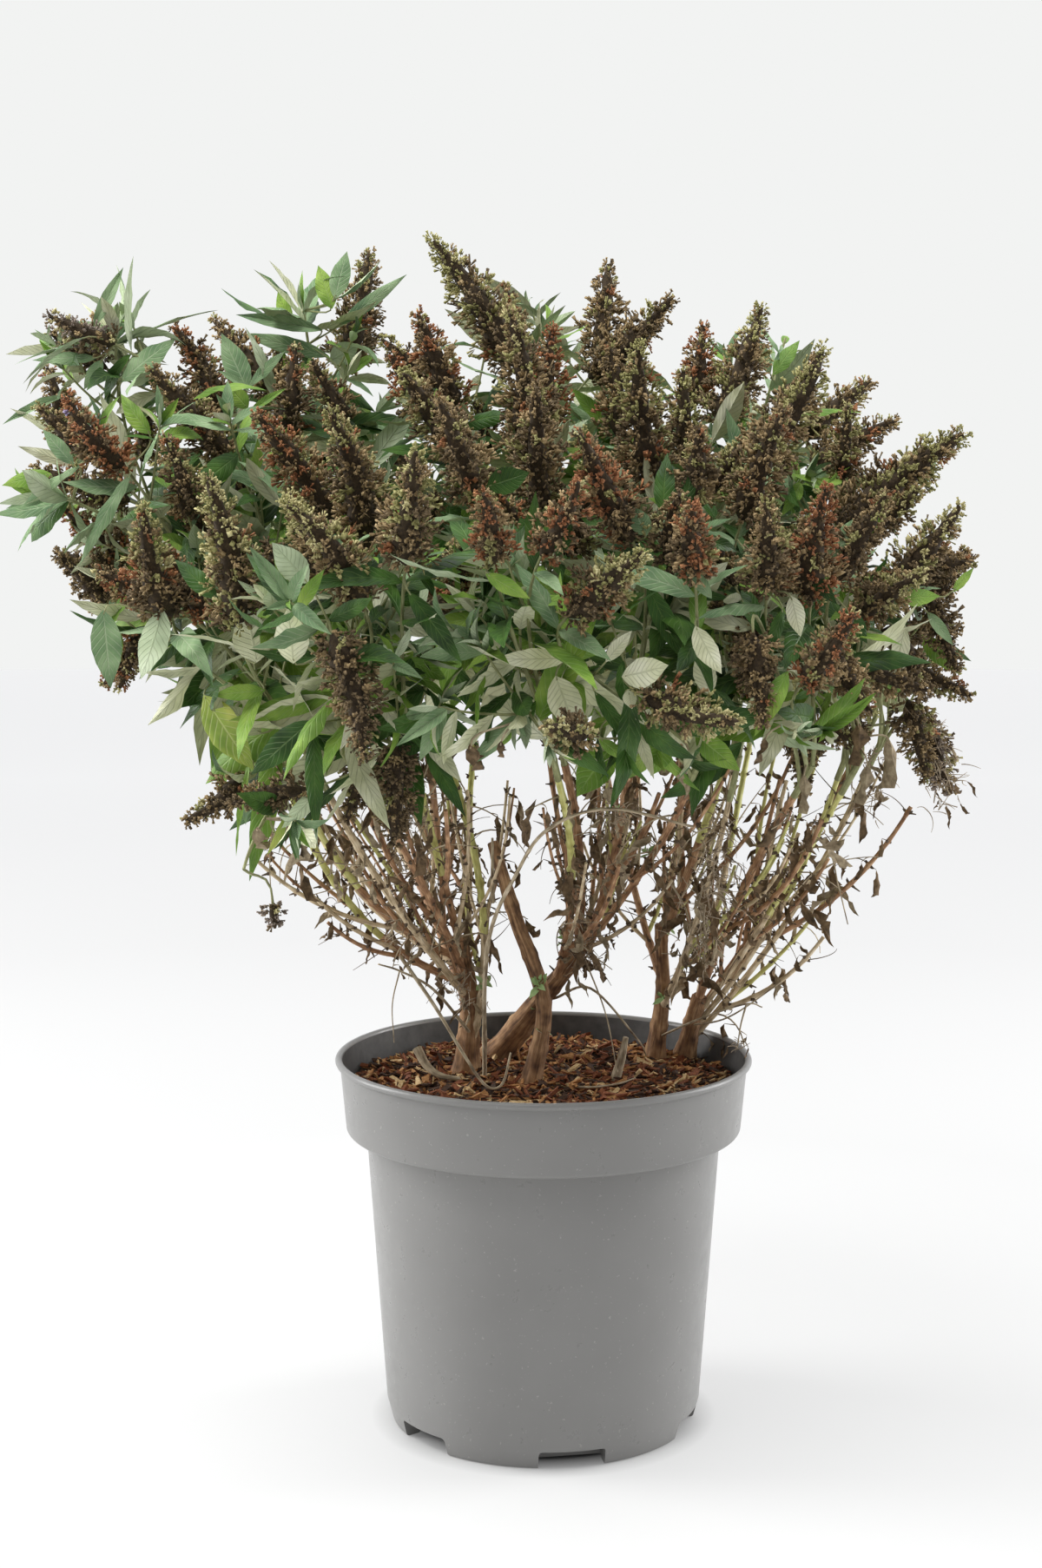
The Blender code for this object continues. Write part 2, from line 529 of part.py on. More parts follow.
def leaves_along(path, leafy_end, rng):
    """The root, direction, upper side, length and width of each leaf of one shoot, pair after pair."""
    lengths = [(b - a).length for a, b in zip(path, path[1:])]
    whole = sum(lengths)
    pairs = max(1, int(whole * (1 - LEAF_FIRST) / NODE_SPACING))
    around = rng.uniform(0, math.tau)
    made = []
    for k in range(pairs + leafy_end):
        share = min(1.0, LEAF_FIRST + (1 - LEAF_FIRST) * (k + 0.5) / pairs)
        point, onward = point_along(path, lengths, share)
        sideways = onward.orthogonal().normalized()
        spread = math.radians(blend(LEAF_SPREAD, share) + rng.uniform(-SPREAD_JITTER, SPREAD_JITTER))
        size = END_LEAF_LENGTH if k == pairs else blend(LEAF_LENGTH, share) * rng.uniform(*LENGTH_JITTER)
        for half in (0, math.pi):
            out = Matrix.Rotation(around + k * math.pi / 2 + half, 3, onward) @ sideways
            if k == pairs:
                spread = math.radians(rng.uniform(*END_SPREAD))
            direction = onward * math.cos(spread) + out * math.sin(spread) - Vector((0, 0, LEAF_HANG))
            direction.normalize()
            upper = onward * math.sin(spread) - out * math.cos(spread)
            width = size * rng.uniform(*LEAF_ASPECT)
            made.append((point, direction, upper, size, width))
    return made


def point_along(path, lengths, share):
    """The point this share of the way along a path, and the way the path runs there."""
    left = share * sum(lengths)
    for (a, b), length in zip(zip(path, path[1:]), lengths):
        if left <= length + 1e-9:
            return a.lerp(b, left / length), (b - a).normalized()
        left -= length
    return path[-1].copy(), (path[-1] - path[-2]).normalized()


def in_crown(bm):
    """Whether the whole piece keeps inside the dome of the crown."""
    for vert in bm.verts:
        x, y, z = vert.co
        reach = math.hypot((x - CROWN_CENTRE[0]) / CROWN_REACH[0], (y - CROWN_CENTRE[1]) / CROWN_REACH[1])
        if reach > 1 or not across(CROWN_FOOT, x) < z < across(CROWN_TOP, x):
            return False
    return True


class Space:
    """What has been placed so far and whose it is, so that a piece touches only what it grows from."""

    def __init__(self):
        self.pieces = []

    def add(self, owner, bm):
        centre, reach = self.ball(bm)
        self.pieces.append((owner, centre, reach, BVHTree.FromBMesh(bm)))

    def ball(self, bm):
        points = [vert.co for vert in bm.verts]
        centre = sum(points, Vector()) / len(points)
        return centre, max((point - centre).length for point in points)

    def clear(self, bm, *own):
        """Whether the piece touches nothing but what these owners placed."""
        centre, reach = self.ball(bm)
        tree = None
        for other, middle, size, other_tree in self.pieces:
            if other in own or (middle - centre).length > size + reach:
                continue
            tree = tree or BVHTree.FromBMesh(bm)
            if tree.overlap(other_tree):
                return False
        return True


def limbs_in_space(space):
    for name in STEMS:
        space.add(name, tube(*stem_path(name), STEM_SIDES))
    for name in CANES:
        space.add(name, tube(*cane_path(name), CANE_SIDES))
    space.add("dry_twig", dry_twig_tube())


def frame_mass(name, space):
    """The mass's stem, shoots and spikes, and the paths of the shoots for the leaves to stand on."""
    path, _ = cane_path(f"cane_{name}")
    rising = (path[-1] - path[-2]).normalized()
    foot = path[-1] + rising * GAP
    top = foot + rising * MASS_STEM_LENGTH
    stem = tube([foot, top], MASS_STEM_RADII, TWIG_WALLS)
    pieces = [("twig", stem)]
    twigs = name, *(f"{name}_{i}" for i in range(len(SHOOTS[name])))
    space.add(name, stem)
    shoots = []
    for i, (*tip, length, lean_right, lean_back) in enumerate(SHOOTS[name]):
        facing = lean_direction(lean_right, lean_back)
        start = foot.lerp(top, blend(SHOOT_HEIGHTS, i / (len(SHOOTS[name]) - 1)))
        axis = shoot_path(start, rising, Vector(tip), length, facing)
        radii = [blend(SHOOT_RADII, i / SHOOT_STEPS) for i in range(SHOOT_STEPS + 1)]
        owner = f"{name}_{i}"
        twig = tube(axis, radii, TWIG_WALLS)
        made = [("twig", twig)]
        fits = space.clear(twig, *twigs)
        if length:
            flowers = spike(axis[-1], facing, length)
            made.append(("spike", flowers))
            fits = fits and space.clear(flowers)
        if fits:
            for kind, bm in made:
                space.add(owner if kind == "twig" else f"{owner}_{kind}", bm)
            pieces += made
            shoots.append((owner, axis, length == 0))
    return pieces, shoots


def clothe_mass(shoots, space, rng):
    """The leaves of a mass, less those that would leave the crown or touch more than their shoot and twin."""
    pieces = []
    for owner, axis, leafy_end in shoots:
        for i, (root, direction, upper, length, width) in enumerate(leaves_along(axis, leafy_end, rng)):
            pair = f"{owner}_pair_{i // 2}"
            for share in LEAF_TRIES:
                bm = leaf(root, direction, upper, length * share, width * share)
                if in_crown(bm) and space.clear(bm, owner, pair):
                    space.add(pair, bm)
                    pieces.append(("leaf", bm))
                    break
                bm.free()
    return pieces


def largest_body(mesh):
    """Drops loose scraps, and the inner skins that fusing seals in."""
    bm = bmesh.new()
    bm.from_mesh(mesh)
    bm.faces.ensure_lookup_table()
    seen, bodies = set(), []
    for face in bm.faces:
        if face in seen:
            continue
        body, front = [], [face]
        seen.add(face)
        while front:
            current = front.pop()
            body.append(current)
            for edge in current.edges:
                for other in edge.link_faces:
                    if other not in seen:
                        seen.add(other)
                        front.append(other)
        bodies.append(body)
    bodies.sort(key=len)
    scraps = [face for body in bodies[:-1] for face in body]
    bmesh.ops.delete(bm, geom=scraps, context="FACES")
    bm.to_mesh(mesh)
    bm.free()


def join_mass(name, pieces, parts, materials):
    """One Boolean union of the mass's pieces, by MANIFOLD, because EXACT is slow on so many thin blades."""
    finishes = {"twig": "cane_bark", "spike": "dry_flower", "leaf": "leaf_green"}
    joined = make_collection(f"{name}_pieces")
    objects = []
    for i, (kind, bm) in enumerate(pieces):
        into = parts if i == 0 else joined
        objects.append(new_object(f"{name}_{i}", bm, into, materials[finishes[kind]]))
    mass = objects[0]
    mass.name = f"mass_{name}"
    union = boolean(mass, "UNION", collection=joined)
    union.solver = "MANIFOLD"
    applied(mass)
    for obj in objects[1:]:
        bpy.data.objects.remove(obj)
    bpy.data.collections.remove(joined)
    largest_body(mass.data)
    return mass


def build_masses(parts, materials):
    space = Space()
    limbs_in_space(space)
    framed = {name: frame_mass(name, space) for name in SHOOTS}
    rng = random.Random(SEED)
    for name, (pieces, shoots) in framed.items():
        leaves = clothe_mass(shoots, space, rng)
        join_mass(name, pieces + leaves, parts, materials)


def main():
    clear_scene()
    materials = {name: make_material(name) for name in FINISHES}
    parts = make_collection("butterfly_bush")
    cutters = make_collection("cutters")
    build_pot(parts, cutters, materials)
    build_soil(parts, materials)
    clearances = build_stems(parts, cutters, materials)
    build_canes(parts, clearances, materials)
    shade_round(new_object("dry_twig", dry_twig_tube(), parts, materials["cane_bark"]))
    build_masses(parts, materials)


if __name__ == "__main__":
    main()
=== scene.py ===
"""The looks of a butterfly bush after flowering, in its grey nursery pot.

Woody stems and ringed canes stand in bark compost, and carry leafy shoots that end in dry flower spikes.
The frame is in metres, +Z up, with the origin on the floor under the middle of the pot. Sizes below are in
centimetres, and CM turns them to metres.
"""

import math
import random

import bmesh
import bpy
import numpy as np
from mathutils import Matrix, Vector, noise


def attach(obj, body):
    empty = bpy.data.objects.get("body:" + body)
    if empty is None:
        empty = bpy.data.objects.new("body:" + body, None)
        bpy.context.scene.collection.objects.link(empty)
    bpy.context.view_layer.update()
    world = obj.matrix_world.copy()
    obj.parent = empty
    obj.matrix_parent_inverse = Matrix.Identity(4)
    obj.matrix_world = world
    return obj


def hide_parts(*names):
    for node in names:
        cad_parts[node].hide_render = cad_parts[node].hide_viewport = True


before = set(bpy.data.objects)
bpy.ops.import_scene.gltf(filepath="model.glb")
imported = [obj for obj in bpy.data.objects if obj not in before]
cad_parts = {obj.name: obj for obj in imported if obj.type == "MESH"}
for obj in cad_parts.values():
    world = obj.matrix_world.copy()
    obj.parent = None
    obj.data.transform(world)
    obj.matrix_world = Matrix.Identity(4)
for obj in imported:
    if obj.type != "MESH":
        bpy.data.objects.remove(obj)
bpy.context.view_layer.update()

CM = 0.01
SEED = 12
PIECE_LIMIT = 190_000  # triangles in one joined piece

# The view, in metres: the camera stands 1.65 m in front of the pot and looks a little down.
IMAGE_SIZE = (1200, 1805)
FOCAL_PIXELS = 2700
SENSOR = 36.0
CAMERA_PLACE = (-0.016, -1.646, 0.640)
CAMERA_DOWN = math.radians(6.32)

# The pot: a 12 litre nursery container, 29.7 across the lip and 26.4 high.
POT_HEIGHT = 26.4
LIP_RADIUS = 14.85
LIP_HEIGHT = 0.5
COLLAR_TOP_RADIUS = 14.5
COLLAR_FOOT_RADIUS = 14.1
COLLAR_FOOT = 21.1
NECK_RADIUS = 12.65
WAIST_RADIUS = 11.3
WAIST_HEIGHT = 1.6
FOOT_RADIUS = 10.95
WALL = 0.35
POT_FLOOR = 22.6  # the compost hides what is below
NOTCH_COUNT = 6
NOTCH_FIRST = math.radians(-50)
NOTCH_ARC = math.radians(24)
NOTCH_HEIGHT = 1.3
NOTCH_DEPTH = 1.7
TURN_STEPS = 160
SOIL_TOP = 24.65
SOIL_RADIUS = 13.95
GAP = 0.03

# A stem: its axis from the soil to its tip, then its radius at the foot and at the tip. Its foot flares.
FLARE_GAIN = 0.55
FLARE_HEIGHT = 1.1
STEMS = {
    "stem_left": (((-5.5, 0.9), (-5.3, 0.6, 30.0), (-6.0, 0.3, 34.8)), 0.80, 0.48),
    "stem_centre": (((-0.9, -2.3), (0.0, -2.5, 30.6), (-2.0, -1.0, 36.4), (-3.6, 0.8, 41.5)), 0.58, 0.42),
    "stem_leaning": (((-3.6, 6.0), (-0.4, 4.2, 29.1), (1.8, 2.8, 32.2), (3.4, 2.4, 34.6)), 0.88, 0.52),
    "stem_right": (((8.3, 6.1), (8.8, 5.0, 29.6), (8.6, 4.2, 35.0)), 0.58, 0.45),
    "stem_far_right": (((10.6, 6.9), (11.1, 6.3, 27.4), (11.6, 5.8, 29.4)), 0.62, 0.52),
}

# A cane: its stem, the height where it leaves that stem, its halfway point, its tip, and its two radii.
CANES = {
    "cane_left_low": ("stem_left", 31.4, (-13.2, -1.0, 36.8), (-18.2, -2.0, 47.0), 0.32, 0.25),
    "cane_left_outer": ("stem_left", 33.2, (-12.4, -2.8, 38.2), (-17.6, -5.4, 47.6), 0.30, 0.24),
    "cane_left_high": ("stem_left", 32.6, (-13.4, 3.6, 37.6), (-18.5, 6.5, 46.4), 0.30, 0.24),
    "cane_left_front": ("stem_left", 30.2, (-10.6, -6.4, 38.8), (-14.3, -11.0, 46.4), 0.30, 0.25),
    "cane_left_mid": ("stem_left", 31.8, (-8.4, -7.6, 40.0), (-11.6, -16.0, 47.4), 0.29, 0.24),
    "cane_centre_front": ("stem_left", 33.6, (-7.2, -6.0, 41.0), (-8.4, -13.0, 48.0), 0.30, 0.25),
    "cane_left_back": ("stem_left", 34.0, (-8.4, 4.6, 41.4), (-12.0, 8.6, 47.4), 0.28, 0.24),
    "cane_centre_top": ("stem_left", 26.2, (-4.3, 0.2, 36.5), (-7.2, 3.4, 48.0), 0.34, 0.28),
    "cane_centre_crest": ("stem_leaning", 33.2, (2.6, 0.9, 40.4), (1.4, -4.0, 47.6), 0.38, 0.30),
    "cane_centre_heart": ("stem_leaning", 31.0, (1.9, -5.2, 39.4), (0.8, -14.0, 47.6), 0.34, 0.27),
    "cane_centre_right": ("stem_leaning", 34.5, (5.0, -2.2, 41.4), (5.4, -9.6, 47.8), 0.32, 0.26),
    "cane_centre_back": ("stem_leaning", 32.2, (5.2, 5.4, 38.8), (6.8, 9.6, 46.0), 0.32, 0.26),
    "cane_centre_low": ("stem_leaning", 31.9, (7.0, -2.8, 40.2), (9.4, -11.4, 46.8), 0.30, 0.25),
    "cane_right_top": ("stem_right", 33.6, (10.7, 2.4, 40.0), (12.6, -0.4, 46.4), 0.36, 0.27),
    "cane_right_back": ("stem_right", 32.0, (9.8, 7.4, 39.2), (12.2, 12.0, 46.2), 0.30, 0.24),
    "cane_right_crest": ("stem_right", 28.4, (10.9, -1.4, 36.6), (12.4, -8.2, 45.6), 0.26, 0.22),
    "cane_right_front": ("stem_far_right", 28.3, (13.8, 0.2, 37.4), (16.6, -9.4, 46.0), 0.35, 0.27),
    "cane_right_low_front": ("stem_far_right", 27.3, (15.8, 2.4, 35.4), (20.0, -7.6, 46.0), 0.26, 0.22),
    "cane_right_outer": ("stem_far_right", 26.4, (17.0, 4.0, 35.8), (20.6, -1.0, 46.2), 0.26, 0.22),
    "cane_right_low": ("stem_far_right", 25.6, (18.0, 6.0, 35.0), (23.3, 4.0, 46.0), 0.26, 0.22),
    "cane_back_left": ("stem_left", 29.0, (-9.2, 8.4, 37.4), (-14.6, 16.0, 46.8), 0.30, 0.24),
    "cane_back_centre": ("stem_left", 31.0, (-5.6, 9.4, 39.6), (-5.2, 17.4, 47.6), 0.30, 0.24),
    "cane_back_middle": ("stem_right", 30.4, (6.6, 11.6, 38.0), (4.6, 18.6, 47.0), 0.30, 0.24),
    "cane_back_right": ("stem_far_right", 28.9, (13.8, 11.2, 37.6), (16.2, 17.2, 47.0), 0.30, 0.24),
    "cane_back_far_right": ("stem_far_right", 27.5, (18.0, 9.8, 36.8), (23.4, 11.4, 46.2), 0.28, 0.23),
}

# A mass of foliage, named as its cane is: one row for each of its shoots. A row holds the shoot's tip, the
# length of the flower spike there, and how many degrees that spike leans to the right and to the back.
# A length of 0 is a shoot that ends in a pair of leaves.
SHOOTS = {
    "left_low": ((-34.6, 2.0, 62.0, 5.5, -62, 15), (-31.5, -2.5, 58.0, 5.0, -115, 0),
                 (-28.5, 9.0, 62.5, 6.0, -56, 24), (-29.7, -7.0, 53.2, 3.5, -140, -18)),
    "left_outer": ((-31.4, -9.0, 72.6, 6.5, -35, -20), (-34.9, -2.0, 72.1, 5.0, -50, 0),
                   (-34.7, -5.5, 67.7, 7.0, -72, -10), (-26.7, -4.0, 74.6, 8.0, -40, -10),
                   (-33.0, -8.0, 66.0, 0, -78, -15)),
    "left_high": ((-34.0, -2.0, 78.3, 5.0, -66, -10), (-35.5, 5.0, 75.2, 4.5, -15, 14),
                  (-26.1, 3.0, 77.9, 7.5, -30, 8), (-24.0, 8.5, 78.8, 7.0, -38, 16),
                  (-29.6, 0.0, 77.6, 0, 4, 4)),
    "left_front": ((-25.1, -17.0, 65.2, 8.0, -8, -25), (-20.7, -21.0, 66.9, 10.0, -8, -20),
                   (-29.2, -12.0, 61.1, 6.0, -60, -30), (-23.4, -14.5, 44.9, 5.0, -125, -20),
                   (-19.0, -19.0, 42.5, 0, -165, -20)),
    "left_mid": ((-18.6, -13.0, 71.1, 9.0, -35, -22), (-13.5, -19.0, 71.0, 10.0, -12, -22),
                 (-15.6, -25.5, 65.3, 9.0, -34, -34), (-11.0, -25.5, 50.0, 8.0, 165, -16)),
    "left_back": ((-17.6, 4.0, 76.6, 6.5, 6, 2), (-12.7, 11.0, 84.0, 9.0, 12, 8),
                  (-16.2, 1.0, 75.4, 5.0, -30, -10), (-17.5, 17.0, 76.0, 6.0, -20, 28),
                  (-17.4, 8.5, 79.4, 0, -8, -2)),
    "centre_front": ((-7.6, -28.0, 68.4, 8.5, 8, -36), (-6.6, -21.0, 71.5, 7.0, -20, -24),
                     (-13.0, -14.0, 44.8, 5.0, -170, 0), (-9.6, -19.0, 43.8, 6.5, -178, 0)),
    "centre_top": ((-7.9, 0.0, 83.6, 10.5, -34, -6), (-8.6, -4.5, 78.3, 7.0, -22, -10),
                   (-11.5, 2.0, 77.0, 5.0, -55, 0), (-9.4, -9.0, 74.0, 8.5, -36, -24)),
    "centre_crest": ((-2.4, -11.0, 77.8, 10.0, -7, -12), (-2.8, 7.0, 81.2, 5.0, -8, 14),
                     (0.6, -3.0, 77.4, 7.0, 2, -4), (-0.6, -17.0, 72.7, 8.5, -2, -24)),
    "centre_heart": ((-3.8, -28.5, 65.8, 6.0, -8, -46), (1.8, -26.5, 66.6, 6.0, 26, -34),
                     (-2.0, -22.0, 52.0, 0, -150, -40)),
    "centre_right": ((6.0, -13.0, 75.5, 10.0, -8, -18), (1.8, -22.0, 69.7, 9.0, -28, -32),
                     (9.4, -18.0, 70.0, 6.0, 6, -30)),
    "centre_back": ((4.9, 13.0, 83.4, 7.5, 6, 14), (9.4, 7.0, 80.4, 8.5, 46, 0),
                    (4.5, 3.0, 76.6, 6.5, -6, 4), (-1.0, 11.0, 80.0, 0, -24, 10)),
    "centre_low": ((5.6, -27.0, 62.4, 7.5, 48, -38), (8.6, -25.5, 65.2, 6.5, -6, -46),
                   (11.5, -26.0, 52.4, 7.0, 104, -34)),
    "right_top": ((11.4, 5.0, 78.2, 6.0, 6, 12), (15.1, 1.0, 79.3, 9.0, 20, 4),
                  (9.4, -4.0, 74.5, 6.5, -4, -6)),
    "right_crest": ((18.2, -8.0, 75.8, 10.5, 34, -12), (15.0, -16.0, 71.3, 8.5, 18, -28),
                    (13.2, -21.0, 65.5, 7.0, -6, -36)),
    "right_back": ((24.5, 11.0, 74.5, 7.0, 50, 18), (25.6, 6.0, 71.4, 7.5, 60, 12),
                   (20.4, 16.0, 76.8, 6.0, 24, 26), (17.6, 8.0, 77.4, 0, 20, 10)),
    "right_front": ((17.4, -19.0, 66.4, 8.5, 4, -30), (18.6, -22.0, 58.8, 6.5, 30, -34),
                    (13.2, -21.0, 51.6, 6.0, 176, -20)),
    "right_low_front": ((24.6, -12.0, 61.0, 6.0, 52, -28), (21.6, -15.0, 66.0, 7.0, 26, -26),
                        (25.6, -10.0, 53.0, 5.5, 108, 0), (20.6, -17.5, 52.0, 5.5, 150, -30)),
    "right_outer": ((28.7, -4.0, 70.2, 11.0, 52, -6), (27.6, -8.0, 65.4, 7.5, 40, -12),
                    (27.6, 3.0, 69.1, 6.5, 52, 8)),
    "right_low": ((30.2, 0.0, 61.6, 6.0, 70, 0), (30.0, 4.0, 56.6, 6.0, 88, 10),
                  (30.0, -1.0, 52.0, 5.5, 114, -10), (28.9, 6.0, 44.8, 6.0, 165, 10)),
    "back_left": ((-23.5, 21.0, 72.0, 8.0, -34, 30), (-29.5, 13.0, 69.0, 7.0, -54, 22),
                  (-16.5, 27.0, 65.0, 8.0, -20, 46), (-25.0, 19.0, 56.0, 6.0, -96, 30)),
    "back_centre": ((-7.5, 20.0, 76.5, 8.5, -8, 24), (-11.5, 29.0, 66.5, 7.5, -14, 50),
                    (-4.5, 30.0, 60.0, 7.0, 4, 62), (-2.5, 25.5, 70.0, 7.5, 6, 38)),
    "back_middle": ((5.6, 21.0, 75.5, 8.5, 6, 24), (9.0, 29.0, 65.5, 7.5, 14, 50),
                    (2.5, 31.0, 58.0, 7.0, -6, 64), (12.0, 22.0, 71.0, 7.0, 24, 32)),
    "back_right": ((18.0, 22.5, 70.5, 8.0, 24, 34), (14.5, 28.5, 60.0, 7.5, 12, 56),
                   (23.0, 21.0, 62.0, 7.0, 46, 38)),
    "back_far_right": ((27.6, 13.0, 67.0, 7.5, 50, 22), (29.4, 9.5, 60.0, 6.5, 72, 16),
                       (26.6, 17.0, 55.5, 7.0, 84, 36)),
}

# The dry twig that bends across the front of the canes: points along it, then its two radii.
DRY_TWIG = ((-4.2, -1.2, SOIL_TOP + GAP), (-3.9, -6.0, 35.2), (-1.8, -11.0, 41.2), (0.2, -15.4, 44.6),
            (4.0, -16.4, 46.0), (9.4, -16.0, 44.8))
DRY_TWIG_RADII = (0.16, 0.08)
